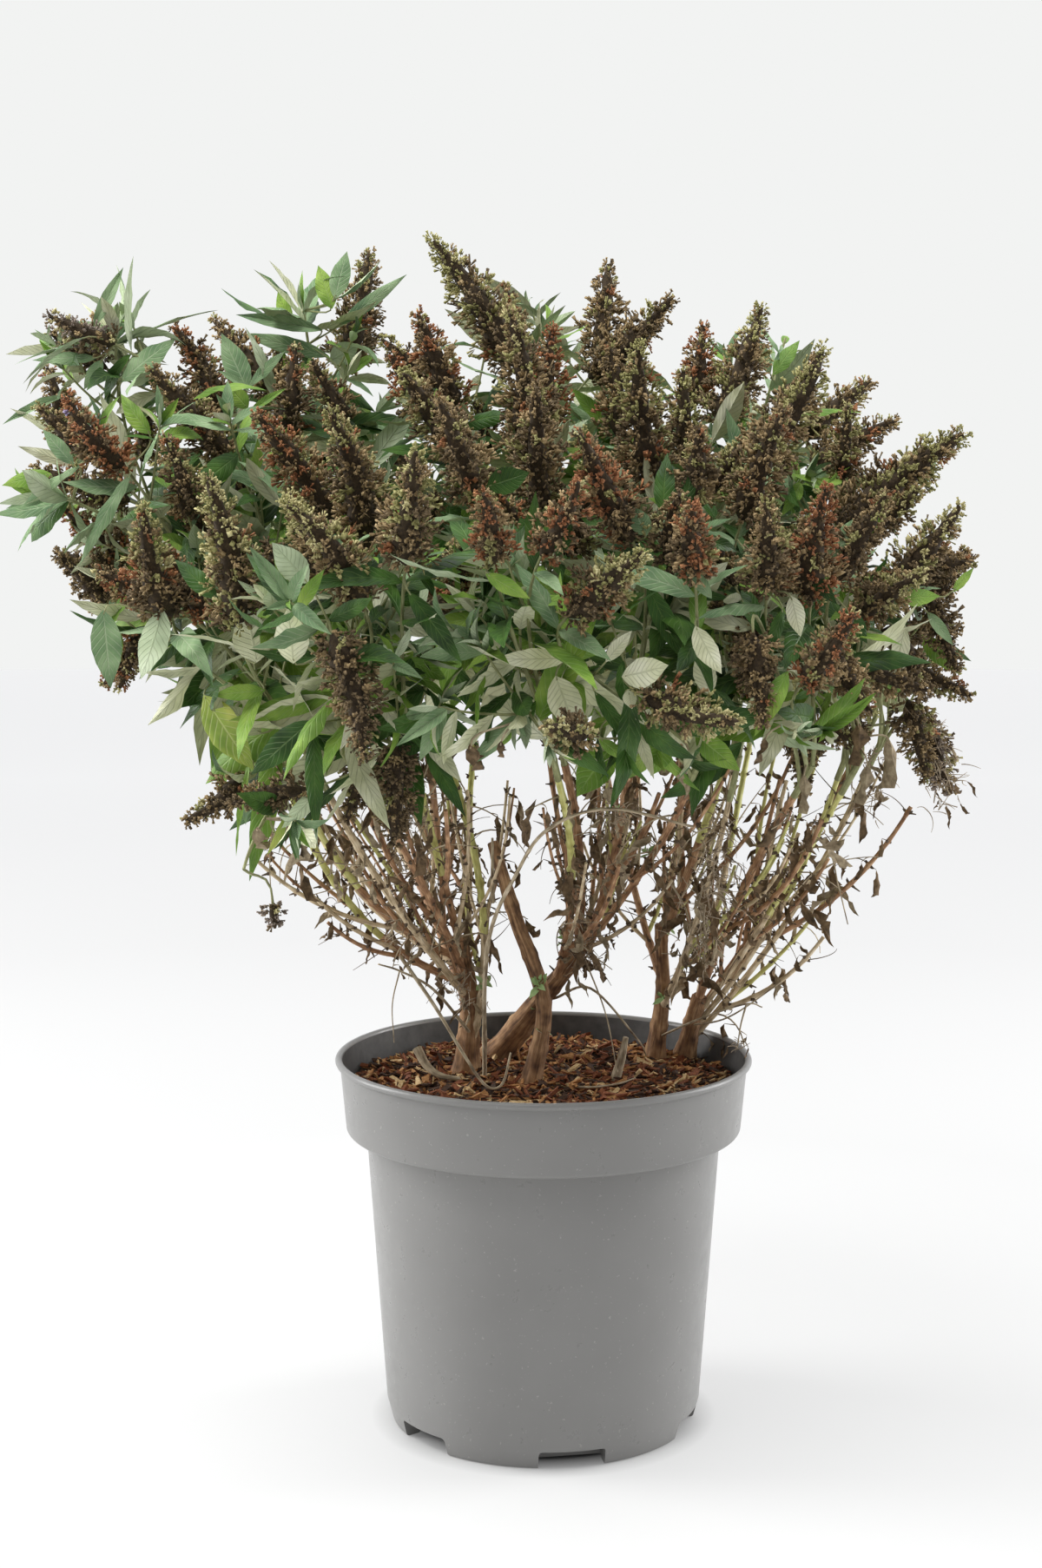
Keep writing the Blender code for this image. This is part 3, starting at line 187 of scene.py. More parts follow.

# Leaves set one by one where they show most: foot, tip, width, and whether the upper side (1), the underside
# (-1) or the edge (0) faces the view.
HAND_LEAVES = {
    "felted": (
        (17.1, 11.6, 75.4, 17.1, 11.6, 77.6, 1.4, 0),
        (16.0, 3.1, 74.5, 14.8, 3.0, 77.4, 1.0, 1),
        (-30.9, -1.5, 77.4, -28.8, -1.3, 81.6, 0.9, 1), (-30.7, -1.6, 75.3, -35, -2.6, 75.5, 1, 1),
        (-31.2, -2.6, 76.7, -35.8, -3.9, 74.1, 0.6, 0), (-30.3, -1.6, 75.2, -31.6, -2.1, 73.2, 1, 1),
        (-29.1, -1.4, 73.7, -25.5, -1.1, 77.1, 1.8, 1), (-15.9, 7.1, 77.9, -22, 5.7, 79, 1.1, 1),
        (-14.8, 7.1, 78.2, -9.7, 7.4, 82.1, 1, 1), (-15, 7, 80.1, -14.2, 7.2, 83.7, 1.5, 1),
        (-14.9, 7, 80.1, -11.3, 7.2, 82.5, 0.5, 0), (-15.5, 8.2, 75.8, -13.2, 7.7, 77, 1.7, -1),
        (-15.5, 8.2, 76.1, -21.9, 6.7, 77.8, 1.3, 1), (-20.6, 0.5, 73.2, -22.4, 0.7, 77.3, 1.8, 1),
        (-21, 5.1, 73.8, -18.5, 5.3, 76.5, 0.9, 1), (-20.8, 0.5, 73.5, -22.5, 0, 74.7, 0.6, 1),
        (-18.6, -3.9, 66.6, -22.7, -4.9, 68.1, 0.9, 1), (-18.7, -3.9, 66.8, -19.6, -3.7, 70.4, 1, 1),
        (-27.4, -8.3, 67.3, -31.2, -9.8, 61.6, 1.1, 1), (-30.6, -9.1, 67.8, -34.7, -10.2, 65.6, 0.8, 1),
        (-31, -9.1, 67.9, -33.2, -8.9, 70.3, 1.1, 1), (-33.7, 2.4, 73, -38.1, 1.3, 71.3, 0.8, 1),
        (-23.6, -5.6, 62.7, -25.5, -6.1, 63.4, 0.4, 1), (-23.6, -5.6, 62.6, -25.4, -6.2, 61.4, 0.5, 1),
        (-14.3, -24.2, 60.5, -16.4, -24.1, 63, 1.8, -1), (-18.7, -3.9, 66, -16.6, -4.4, 65.5, 1.4, 1),
        (-28.2, -15.1, 58.6, -27.6, -16.2, 53.7, 2, 1),
        (-24.4, -15.1, 58.7, -25.5, -16.2, 54.1, 2.1, -1),
        (12.9, -13.3, 51.2, 18.8, -14.7, 49.1, 0.9, -1), (17.9, -13.4, 61.3, 20.6, -13.2, 64.9, 1.5, 1),
        (25.5, -7.9, 58.2, 27.2, -8.6, 56, 0.8, 1), (6.2, -18.7, 63.3, 5.3, -18.6, 65.1, 1.3, 1),
        (10, -21.6, 59.5, 8.4, -21.4, 61.6, 0.9, 1), (26.3, 0.6, 66.6, 27.5, 0.7, 69, 0.9, 1),
    ),
    "fresh": (
        (16.3, 4.0, 74.5, 18.0, 4.0, 77.2, 1.3, 1),
        (-15.2, 7, 79.4, -16.2, 7.2, 82.7, 1.5, 1), (-18.2, 7, 78.2, -19.2, 7.1, 80.7, 1.1, 1),
        (-20.6, 0.5, 72, -21.9, 0, 73.6, 1.3, 1), (-20.5, 0.5, 71.7, -18, 0.6, 73.6, 0.6, 1),
        (-32.4, -9.5, 67.3, -35.6, -10.3, 66.7, 1.2, 1), (-26, -8.3, 69.9, -28.3, -8.1, 72.5, 1.4, 1),
        (-29.2, -7.4, 57.3, -28.2, -7.9, 55.4, 1.1, 1), (-17.7, -17.1, 53.6, -21, -17.8, 53.4, 1.1, 1),
        (-17.1, -15.1, 50.3, -18.7, -17.2, 41.3, 1.7, 1), (-19, -14.1, 49, -20.4, -15.5, 42.9, 0.6, 0),
        (-15, -14.3, 50.4, -10.5, -15.3, 48.5, 1.5, 1), (14.9, -19.9, 55, 12.7, -20.9, 51.1, 1.4, 1),
        (23.6, -7.9, 59, 26.2, -8.6, 59.4, 1.4, 1), (26.2, -1.5, 56.4, 28.6, -2.4, 53.6, 1.4, 1),
        (27.2, -7.9, 59.5, 28.5, -7.8, 61.3, 0.7, 1), (20.8, -13.4, 63.3, 21.4, -13.3, 65.7, 0.9, 1),
        (4.3, -14.3, 49.9, 1.9, -15.2, 46.7, 2.4, 1), (7.2, -17.7, 50.6, 6.7, -18.3, 48.3, 2, 1),
        (9.4, -16.9, 50.8, 12.2, -17.7, 48.5, 1.6, 1), (3.2, -20.6, 50.9, 4.9, -21.1, 49.5, 0.8, 1),
        (2.2, -21.6, 56.8, 0.5, -21.4, 58.9, 1, 1), (-3.7, -25.7, 61.1, -1.1, -26.3, 59.6, 1, 1),
    ),
    "dark": (
        (-31.8, -3.5, 68, -35.7, -4.5, 69.2, 0.9, -1), (-25.8, -0.2, 70.2, -24.9, -1.1, 66.5, 0.8, 1),
        (-24, -5.6, 62.9, -26.1, -5.4, 66.2, 0.8, 1), (-20.4, -19.1, 59.4, -23.1, -18.9, 62, 1.3, 1),
        (-18.1, -18.1, 55.4, -18.7, -18, 58.8, 2.6, -1), (-15.4, -22.6, 55.6, -15.6, -22.5, 59, 2.2, -1),
        (-14.5, -20.6, 52, -18.3, -21.7, 48.8, 1.8, 1), (-14.4, -20.6, 51.5, -14.2, -22.1, 45.1, 1.2, 1),
        (-7.7, -17.6, 50.3, -5.1, -18.8, 45.8, 1.1, 1), (-7.6, -18.1, 50.5, -10.4, -18.8, 49.6, 1.4, 1),
        (-8.4, -23.4, 60, -5.1, -24.6, 55.8, 1.3, 1), (-18.3, -14.5, 50.6, -20.5, -14.4, 52.4, 1.6, -1),
        (6.3, -17.3, 60.2, 8.5, -18.4, 55.7, 1.4, 1), (4.5, -22.5, 54.8, 7.4, -23.1, 55.4, 2.2, -1),
        (3.6, -20.6, 55.6, 5.2, -20.5, 57.6, 0.9, -1), (10.2, -18.2, 53.4, 9.5, -18, 56.1, 1.5, -1),
        (5.7, -19.2, 51.8, 7.2, -19.6, 52.5, 1, -1), (4.9, -22.5, 54, 5.1, -22.7, 52.8, 0.9, -1),
        (14.8, -17.7, 58.8, 13.8, -18.5, 55.5, 0.9, 1), (15.2, -18.4, 59.6, 15.8, -19, 57, 1.2, -1),
        (16.6, -16.2, 60.9, 18.3, -16.8, 59, 0.9, 1), (24.1, -7.7, 57.3, 23, -8.7, 53.1, 1.3, -1),
        (7.2, -11.1, 64.6, 6.2, -10.9, 68.7, 0.8, -1), (7.3, -16.5, 64.6, 7.4, -16.3, 68.6, 1.4, 1),
        (8.6, -16.5, 64.6, 9.3, -16.3, 68.5, 1, 1), (1.3, -21.6, 55.9, -3.4, -22.6, 55.6, 1.4, -1),
        (0.5, -21.6, 54.8, 1.8, -22.4, 51.3, 2.1, -1), (0, -19.1, 50.7, -3.7, -18.8, 53.5, 1.8, -1),
        (2.9, -20.6, 53.8, 5.5, -21.6, 50.2, 0.9, 1), (5.6, -19.2, 50.8, 3.9, -20.2, 46.4, 0.9, 1),
        (0.9, -17.4, 49.5, 3.7, -18.1, 49, 0.8, -1), (-3.7, -19.7, 66.3, -1.1, -20.3, 67.1, 1.7, 1),
        (0.5, -24.6, 62.1, 1.5, -24.5, 64.2, 0.9, 1), (9.1, -20.3, 57.8, 10.6, -21.1, 54.7, 1.5, -1),
        (13, -12.6, 62, 9.6, -13.3, 62, 0.6, 1), (19.4, -12.8, 58.6, 20.8, -13.4, 56.4, 1.2, 1),
    ),
    "yellow": (
        (-22, -14.3, 53.1, -18.9, -15.6, 48.3, 2.6, 1),
    ),
    "dead_dark": (
        (20.5, -11.9, 51.1, 20.3, -11.9, 46.9, 1.4, 1), (-4.7, -23.5, 50.8, -4.2, -23.5, 47.7, 1.2, 1),
        (-2.8, -23.5, 51, -3, -23.5, 49.1, 0.7, 1), (13.8, -17.1, 50.6, 13.3, -17.1, 48.4, 0.8, 1),
    ),
    "dead_grey": (
        (22.4, -11.9, 50.2, 23.4, -11.9, 45.2, 0.8, 1), (-15.6, -18, 45.4, -16.7, -18, 40.7, 0.7, 1),
        (-15.4, -18, 45, -15, -18, 41.8, 1.1, 1), (-18.1, -19, 45.2, -18.3, -19, 42.5, 1.1, 1),
        (4.2, -10, 46.7, 4.3, -10, 44.4, 1.3, 1), (9.2, -16.2, 49.4, 8.9, -16.2, 46.3, 0.8, 1),
        (21.1, -11.9, 48.4, 20.6, -11.9, 44.4, 1.1, 1), (16.8, -12.9, 47.9, 17.1, -12.9, 43.9, 0.9, 1),
    ),
}

# Spent spikes set one by one among the leaves: foot, tip and tone.
HAND_SPIKES = (
    (24.8, -5, 52.1, 25.9, -6, 46.6, "brown"), (26.8, -4, 49.8, 28.1, -4.5, 45.5, "grey"),
    (15.5, -9, 50.3, 20.7, -11, 50, "dark"), (26.2, -3, 61.8, 29.2, -4, 61.4, "brown"),
    (26.5, -3, 58.9, 28.4, -4, 53.8, "dark"), (23.6, -6, 57.2, 25.4, -7, 52.2, "dark"),
    (13.6, -13, 58.6, 12.7, -15, 53.2, "brown"), (-29.8, -5, 58.7, -32.8, -6, 61.9, "dark"),
    (-27.4, -6, 56.6, -28.7, -7, 52.8, "rusty"), (19.6, -5, 53.6, 21.9, -6.5, 49.6, "dark"),
    (17.6, -8, 49.7, 17.3, -9, 46, "dark"), (3.9, -15, 59.2, 1.2, -16.5, 58.1, "dark"),
    (-1.8, -16, 64.2, -3.1, -17.5, 66, "rusty"), (-10.1, -10, 48.2, -9.5, -11, 43.7, "dark"),
    (-17.1, -9, 61.9, -20.6, -12, 60.8, "dark"), (-18.9, -9, 58.5, -19.9, -11, 61.9, "dark"),
    (22.2, -3, 63.6, 25.4, -5, 66.5, "olive"), (21, -6, 59, 23.8, -9, 60.8, "brown"),
    (-17.9, -12, 39.2, -17.8, -12.2, 37.5, "grey"),
)

# How a shoot grows from its cane's tip, by the rule that the solids follow.
MASS_STEM_LENGTH = 4.0
MASS_STEM_RADII = (0.22, 0.19)
SHOOT_HEIGHTS = (0.97, 0.3)
SHOOT_SLANT = 1.3
SHOOT_STIFFNESS = 0.36
SHOOT_STEPS = 14
SHOOT_RADII = (0.17, 0.10)
SPIKE_WIDTH = (1.3, 0.34)
LEAF_LENGTH = (10.4, 6.0)
LEAF_SPREAD = (76, 44)
LEAF_HANG = 0.22
CROWN_CENTRE = (-3.6, 0.5)
CROWN_REACH = (34.2, 32.0)
CROWN_TOP = ((-38, 76), (-31, 83), (-12, 84), (0, 81), (10, 81), (18, 78), (31, 68))
CROWN_FOOT = (
    (-38, 62), (-31, 59), (-27, 55), (-23, 46), (-12, 46), (-7, 47), (-4, 53), (2, 53), (4, 49), (8, 48),
    (11, 50), (14, 53), (31, 55),
)

# The finer growth that only the looks have.
NODE_SPACING = 2.5
LEAF_FIRST = 0.16
LEAF_JITTER = (0.62, 1.14)
LEAF_ASPECT = (0.2, 0.31)
LEAF_TRIES = (1, 0.82, 0.66, 0.5)
LEAF_SHAPE_ASPECT = 0.3
LEAF_OUTLINE_PEAK = 0.2383  # the greatest value of t**0.9 * (1 - t)**1.2, at the leaf's widest
SIDE_SHOOTS = 4
SIDE_LENGTH = (4.5, 9.0)
SIDE_SPIKE = (3.4, 6.6)
SIDE_SPIKE_SHARE = 0.33
LOW_HEIGHT = 56.0  # below this the leaves have grown soft, and hang
LOW_HANG = 3.0
LOW_FLIPS = 0.28
HIGH_FLIPS = 0.04
LEAF_DROP = 3.0  # how far below the crown's foot a hanging leaf may reach
SIDE_LEAF_SPREAD = 55
SIDE_LEAF_LENGTH = (6.0, 4.2)
# The last pairs of a leafy shoot and of a side shoot: how far a leaf spreads in degrees, and its length.
END_PAIRS = ((58, 8.0), (36, 7.0), (20, 5.0), (9, 3.0))
YOUNG_PAIRS = ((46, 4.0), (28, 3.2), (12, 2.2))

# A spike's tone, for each row of SHOOTS in turn: how its clusters of dry flowers are coloured.
SPIKE_TONES = {
    "left_low": ("dark", "brown", "brown", "rusty"),
    "left_outer": ("rust", "olive", "brown", "brown", ""),
    "left_high": ("grey", "brown", "rusty", "brown", ""),
    "left_front": ("olive", "straw", "rusty", "brown", ""),
    "left_mid": ("rusty", "olive", "straw", "dark"),
    "left_back": ("brown", "brown", "brown", "brown", ""),
    "centre_front": ("olive", "brown", "dark", "dark"),
    "centre_top": ("olive", "rusty", "olive", "olive"),
    "centre_crest": ("olive", "brown", "rust", "dark"),
    "centre_heart": ("rusty", "rusty", ""),
    "centre_right": ("olive", "rusty", "brown"),
    "centre_back": ("brown", "brown", "brown", ""),
    "centre_low": ("straw", "rusty", "straw"),
    "right_top": ("rust", "olive", "olive"),
    "right_crest": ("olive", "brown", "brown"),
    "right_back": ("brown", "brown", "brown", ""),
    "right_front": ("rust", "rusty", "brown"),
    "right_low_front": ("straw", "brown", "dark", "brown"),
    "right_outer": ("olive", "straw", "olive"),
    "right_low": ("dark", "dark", "brown", "grey"),
    "back_left": ("brown", "olive", "dark", "brown"),
    "back_centre": ("brown", "rusty", "dark", "olive"),
    "back_middle": ("olive", "brown", "dark", "brown"),
    "back_right": ("brown", "olive", "dark"),
    "back_far_right": ("brown", "straw", "dark"),
}

# For each tone: the shares of the dry flowers' colours at the spike's foot, then at its tip.
FLOWER_COLOURS = ("umber", "brown", "rust", "olive", "straw", "grey", "lilac")
TONES = {
    "dark": ((0.75, 0.20, 0.00, 0.05, 0.00, 0.00, 0.00), (0.55, 0.35, 0.00, 0.10, 0.00, 0.00, 0.00)),
    "brown": ((0.50, 0.40, 0.04, 0.06, 0.00, 0.00, 0.00), (0.20, 0.50, 0.05, 0.20, 0.05, 0.00, 0.00)),
    "rusty": ((0.40, 0.35, 0.20, 0.05, 0.00, 0.00, 0.00), (0.10, 0.25, 0.50, 0.12, 0.03, 0.00, 0.00)),
    "rust": ((0.24, 0.25, 0.48, 0.03, 0.00, 0.00, 0.00), (0.06, 0.18, 0.71, 0.04, 0.00, 0.00, 0.01)),
    "olive": ((0.55, 0.33, 0.03, 0.09, 0.00, 0.00, 0.00), (0.05, 0.20, 0.02, 0.58, 0.15, 0.00, 0.00)),
    "straw": ((0.45, 0.35, 0.05, 0.15, 0.00, 0.00, 0.00), (0.02, 0.10, 0.02, 0.36, 0.50, 0.00, 0.00)),
    "grey": ((0.25, 0.30, 0.00, 0.05, 0.05, 0.35, 0.00), (0.10, 0.20, 0.00, 0.10, 0.10, 0.50, 0.00)),
}

# A spent spike: how wide it is along its length, its whorls, the clusters of each, and the flowers and seed
# cases of each cluster, round a core that shows between them.
SPIKE_PROFILE = ((0.0, 0.62), (0.12, 0.9), (0.28, 1.0), (0.55, 0.78), (0.8, 0.48), (0.95, 0.26), (1.0, 0.1))
SPIKE_BOW = 0.04
WHORL_SPACING = 0.42
WHORL_TURN = 0.7
CLUSTERS = 5
CLUSTERS_LEFT = 1.0  # the share of them that has not dropped off
FLOWERS = 10
LUMPS = 2
LUMP_LENGTH = (0.36, 0.68)
LUMP_GIRTH = 0.3
FLOWER_WIDTH = (0.055, 0.095)
FLOWER_LENGTH = (0.34, 0.7)
CORE_GIRTH = 0.42
CORE_FOOT = 0.12

# The rings that fallen leaves left on a cane, and how far its bark swells there.
NODE_STEP = 2.4
RING_STEP = 0.3  # from point to point of a cane's axis
NODE_SWELL = 0.42
NODE_WIDTH = 0.16

# How deep the bark's ridges are, and how far a stem swells at its knots, as shares of the radius.
CANE_RELIEF = 0.07
STEM_RELIEF = 0.2
STEM_SWELL = 0.13

# The canes are drawn a little slimmer than their solids, with thinner canes between them.
CANE_SLIMNESS = 0.88
GREY_CANES = ("cane_right_outer", "cane_right_low", "cane_right_low_front", "cane_left_high")
THIN_CANES = 4
THIN_CANE_LENGTH = (6.0, 15.0)
THIN_CANE_RADIUS = (0.12, 0.22)
THIN_CANE_TONES = ("brown", "brown", "tan", "green")

# The share of the way up a cane from where its bark is still green. On the others it is past the tip.
NO_GREEN_END = 2.0
CANE_GREEN = {
    "cane_left_low": 0.35, "cane_left_outer": 0.5, "cane_centre_front": 0.45, "cane_centre_top": 0.4,
    "cane_centre_heart": 0.5, "cane_right_top": 0.62, "cane_right_low_front": 0.45, "cane_right_outer": 0.55,
    "cane_back_centre": 0.6, "cane_back_right": 0.55,
}

# Dead growth on each cane, and how wide a shrivelled leaf is for its length.
DEAD_TWIGS = 4
DEAD_TWIG_LENGTH = (2.5, 8.0)
DEAD_LEAF_WIDTH = 0.62

# Thin dry twigs, one by one: points along each, then its radius.
THIN_TWIGS = (
    (((-10.0, -4.0, 34.2), (-7.6, -5.0, 30.9), (-5.5, -6.0, 27.6), (-4.0, -6.5, 25.6), (-2.9, -6.4, 25.7),
      (-2.3, -6.0, 27.8)), 0.14),
    (((-5.3, -0.2, 28.0), (-7.7, -3.0, 31.6), (-9.9, -5.0, 33.3), (-11.4, -6.0, 34.0)), 0.12),
    (((-10.0, -5.0, 33.3), (-10.5, -5.1, 31.0), (-10.4, -5.0, 28.3)), 0.06),
    (((17.5, 3.0, 40.2), (20.0, 0.0, 41.2), (20.8, -1.0, 38.6), (21.5, -1.0, 35.9)), 0.08),
    (((8.8, 5.0, 26.6), (11.4, 0.0, 29.0), (14.3, -2.0, 30.4), (15.4, -2.2, 30.2)), 0.10),
    (((14.3, -2.0, 30.4), (13.9, -2.1, 28.9), (13.7, -2.0, 27.3)), 0.08),
    (((10.8, 6.5, 27.0), (13.4, 2.0, 28.6), (17.0, 0.0, 31.6)), 0.09),
    (((-3.6, -1.2, 37.5), (-3.6, -2.0, 40.0), (-3.6, -2.0, 42.2)), 0.17),
    (((0.8, 3.8, 29.6), (3.4, 0.5, 31.0), (6.8, 2.0, 27.0), (7.6, 4.6, 25.2)), 0.11),
    (((3.0, 1.0, 33.0), (4.4, -1.0, 29.5), (5.2, -2.4, 25.6)), 0.07),
    (((-17.6, -11.0, 46.0), (-18.1, -12.0, 42.4), (-18.0, -12.0, 38.8)), 0.06),
    (((5.0, -1.5, 24.6), (5.5, -1.8, 26.4), (5.8, -2.0, 28.0)), 0.42),
    (((-9.0, -1.0, 27.0), (-8.3, -1.6, 25.9), (-7.3, -2.2, 25.3), (-5.9, -2.4, 25.1)), 0.36),
    (((2.2, -5.2, 25.2), (3.6, -5.6, 25.3), (5.2, -5.0, 25.4), (6.4, -4.2, 25.6)), 0.09),
)

# Matted remnants: points along each, how wide it is heaped, and how many threads it has.
TANGLES = (
    (((11.6, -8.0, 45.0), (11.5, -7.0, 39.6), (10.5, -4.0, 34.0)), 0.75, 130),
    (((-9.7, -5.0, 41.6), (-9.9, -4.0, 34.8)), 0.55, 70),
    (((13.9, -2.0, 28.6), (13.7, -2.0, 26.9)), 0.3, 14),
    (((2.2, 1.0, 33.4), (4.2, 0.0, 34.0)), 0.5, 34),
    (((-5.0, -3.4, 30.0), (-6.4, -2.2, 33.0)), 0.5, 30),
    (((25.5, -5.0, 50.4), (27.4, -6.0, 47.8), (26.5, -6.0, 44.5)), 0.6, 60),
    (((21.6, -8.0, 49.6), (22.4, -8.0, 44.5)), 0.5, 40),
    (((3.5, -11.0, 46.6), (5.0, -12.0, 44.4)), 0.5, 34),
    (((-11.3, -12.0, 49.0), (-10.9, -11.0, 45.7)), 0.5, 34),
    (((-9.0, -12.0, 49.0), (-8.6, -10.0, 43.2)), 0.6, 70),
    (((1.4, -6.0, 40.6), (2.0, -5.0, 37.4)), 0.4, 26),
)

# Where fresh rosettes break from the old wood.
SPROUTS = (
    (-4.7, 0.0, 30.8), (-3.1, -3.0, 31.1), (0.3, -3.0, 31.8), (-0.9, -4.0, 28.4), (7.2, 3.0, 28.1),
    (4.3, -6.0, 43.0), (6.0, -6.0, 40.3), (8.5, 3.0, 34.5), (-1.6, 2.0, 28.7), (1.2, 0.0, 33.5),
)
SPROUT_SPREADS = (75, 50, 22)
SPROUT_SIZES = (1.3, 1.0, 0.7)
SPROUT_ASPECT = 0.5

# The chips' tones, how many there are of each, and the longest of them.
CHIPS = (("rust", 1700, 2.1), ("tan", 1500, 2.0), ("dark", 1500, 2.1), ("pale", 600, 1.9))
CHIP_TAPERS = (0.4, 0.6, 0.8, 0.3, 0.7, 0.5)

# How bright the white surroundings are to the plant, in front of it and behind it.
SKY_FRONT = 0.28
SKY_BACK = 1.05
# The floor, in metres. Its glow is painted light, for the strong light that falls on it. The glow sets in at
# the pot's edge, so that there is none under the pot, and a ring round the foot stays darker as a painted
# contact shadow.
FLOOR_REACH = 9.0
FLOOR_GLOW = 0.4
GLOW_START = (0.09, 0.125)
# The floor's tones by the share of its reach, the two ends first. They are painted shade and light that even
# out what the soft boxes do: darker within a few metres of the pot, where the boxes light the floor most, and
# lighter towards the floor's edge.
FLOOR_TONES = (
    (0.03, "#a6a6a5"), (1.0, "#bebebd"), (0.09, "#969695"), (0.22, "#9b9b9a"), (0.32, "#a8a8a7"),
    (0.49, "#b8b8b7"),
)
# Each soft box: its place, where it points and its size, in metres, and its power in watts.
SOFT_BOXES = {
    "overhead_softbox": ((-0.7, -0.7, 2.7), (0, 0, 0.5), (1.5, 1.5), 50),
    "left_softbox": ((-2.5, 0.5, 1.3), (0, 0, 0.4), (1.2, 2.0), 62),
    "right_softbox": ((2.5, 0.7, 1.3), (0, 0, 0.4), (1.2, 2.0), 52),
}

# Rough natural finishes: dark, light and middle tone, the grain in mm, roughness, and the bump in mm.
MOTTLED = {
    # The pot's plastic on the inside: dull, and darker than outside, which is painted shade within the pot.
    "pot_inside_painted_shade": ("polypropylene_painted_shade_inside", ("#3c3b3a", "#5a5957", "#4b4a49"), 14, 0.6, 0.1),
    # Composted bark: nearly black, damp crumbs between the chips.
    "compost": ("composted_bark", ("#1d120c", "#5a3520", "#33200f"), 3.0, 0.95, 1.5),
    # Shrivelled leaves: dull and papery, dark brown where they rotted and grey where they bleached.
    "dead_leaf_dark": ("shrivelled_leaf_dark", ("#3c3022", "#92795a", "#6a563d"), 5, 0.9, 0.4),
    "dead_leaf_grey": ("shrivelled_leaf_grey", ("#6c5f4a", "#bcae90", "#94846a"), 5, 0.92, 0.4),
    # The stalks inside a spent spike: dark umber, as little light gets in.
    "spike_core": ("dried_flower_core", ("#2a2116", "#55452f", "#3c3020"), 2, 0.95, 0.8),
}
# Split bark: fibrous flakes, from fox red to straw where they broke fresh.
CHIP_COLOURS = {
    "rust": ("#542c18", "#9a6038", "#774022"),
    "tan": ("#85582f", "#c99660", "#a87848"),
    "dark": ("#26180f", "#5a3a24", "#3e2818"),
    "pale": ("#a88656", "#e2c8a0", "#c8aa7a"),
}
# Dried flowers and seed cases: papery crumbs, dull all over.
FLOWER_TONES = {
    "umber": ("#3c3222", "#a8916e", "#6a593e"),
    "brown": ("#594931", "#d2b78b", "#927c56"),
    "rust": ("#643f26", "#c48f62", "#93603d"),
    "olive": ("#605d38", "#c8c28c", "#949059"),
    "straw": ("#8c8356", "#dcd4a4", "#b9b07c"),
    "grey": ("#5f5349", "#b8a99c", "#8c7e72"),
    "lilac": ("#9488ae", "#d2c8e4", "#b4a8cc"),
}
# Barks: dark, light and middle tone, the fibres in mm, roughness, and the bump in mm.
BARKS = {
    # Old wood's bark: cinnamon brown, dull, peeling in long fibres.
    "stem_bark": ("fibrous_old_bark", ("#5a4130", "#bd9870", "#94704f"), 1.6, 0.88, 1.2),
    # Cane bark of last year: reddish brown with fine fibres, or weathered to a pale buff.
    "cane_brown": ("reddish_cane_bark", ("#74523a", "#d2ae88", "#a9805c"), 1.1, 0.72, 0.5),
    "cane_tan": ("weathered_cane_bark", ("#928064", "#eedfc2", "#d0ba96"), 1.1, 0.8, 0.5),
    # Green cane bark: this year's wood, smooth and waxy, yellow-green.
    "cane_green": ("green_cane_bark", ("#a29c56", "#e0de9e", "#c8c678"), 2.2, 0.55, 0.15),
    # The bark of leafy shoots: grey-green felt with no shine.
    "shoot_bark": ("felted_shoot_bark", ("#6f6f4a", "#b3b58c", "#93966a"), 1.8, 0.9, 0.2),
    # Dead wood: dark stubs where leaves fell, twigs that the sun bleached, and matted grey fibre.
    "dead_bark": ("dead_stub_bark", ("#43352a", "#96806a", "#70604c"), 1.0, 0.9, 0.5),
    "dead_twig": ("bleached_twig_bark", ("#72624e", "#dacab0", "#b0a084"), 1.2, 0.88, 0.3),
    "dead_thread": ("matted_dry_fibre", ("#7c6c5a", "#d6c8b2", "#b0a088"), 1.0, 0.92, 0.2),
}
# Leaf skins: dark, light and middle tone, the veins' tone and its share, roughness, how far the veins stand
# out in mm, and the specular level.
LEAF_SKINS = {
    # Leaves above have impressed veins. Old ones are dark and faintly glossy.
    "leaf_dark": ("mature_leaf", ("#203715", "#52782f", "#355720"), "#7f9c56", 0.36, 0.5, -0.6, 0.3),
    "leaf_fresh": ("fresh_leaf", ("#54782a", "#9ab650", "#749838"), "#b4cc82", 0.4, 0.55, -0.5, 0.3),
    # Young ones hold a grey-green felt, which takes their shine.
    "leaf_felted": ("young_felted_leaf", ("#567450", "#98b084", "#749064"), "#c2cfac", 0.45, 0.85, -0.5, 0.5),
    "leaf_sprout": ("sprout_leaf", ("#8fb06a", "#c2d89c", "#a9c683"), "#cfe0b0", 0.3, 0.6, -0.3, 0.5),
    # A leaf about to drop: thin and yellow-green.
    "leaf_yellow": ("yellowing_leaf", ("#6c8c2a", "#bac158", "#94aa40"), "#d2d690", 0.5, 0.5, -0.4, 0.5),
    # Leaves below: dense grey-white felt, with raised veins a little darker.
    "leaf_underside": ("felt_underside", ("#bcc096", "#f0f0d8", "#dadcb8"), "#a6aa84", 0.5, 0.95, 0.6, 0.5),
    "young_underside": ("young_underside", ("#9fae8c", "#d2ddbf", "#b9c8a3"), "#98a680", 0.5, 0.95, 0.6, 0.5),
}
VEIN_PAIRS = 20.0  # twice the pairs of side veins, because a fold of the wave holds two
VEIN_SLANT = -0.42
RIB_WIDTH = 0.045


def linear(hex_colour):
    """An sRGB colour in the linear red, green and blue that the shaders work in, with an alpha of 1."""
    channels = [int(hex_colour[i : i + 2], 16) / 255 for i in (1, 3, 5)]
    return (*(c / 12.92 if c <= 0.04045 else ((c + 0.055) / 1.055) ** 2.4 for c in channels), 1)


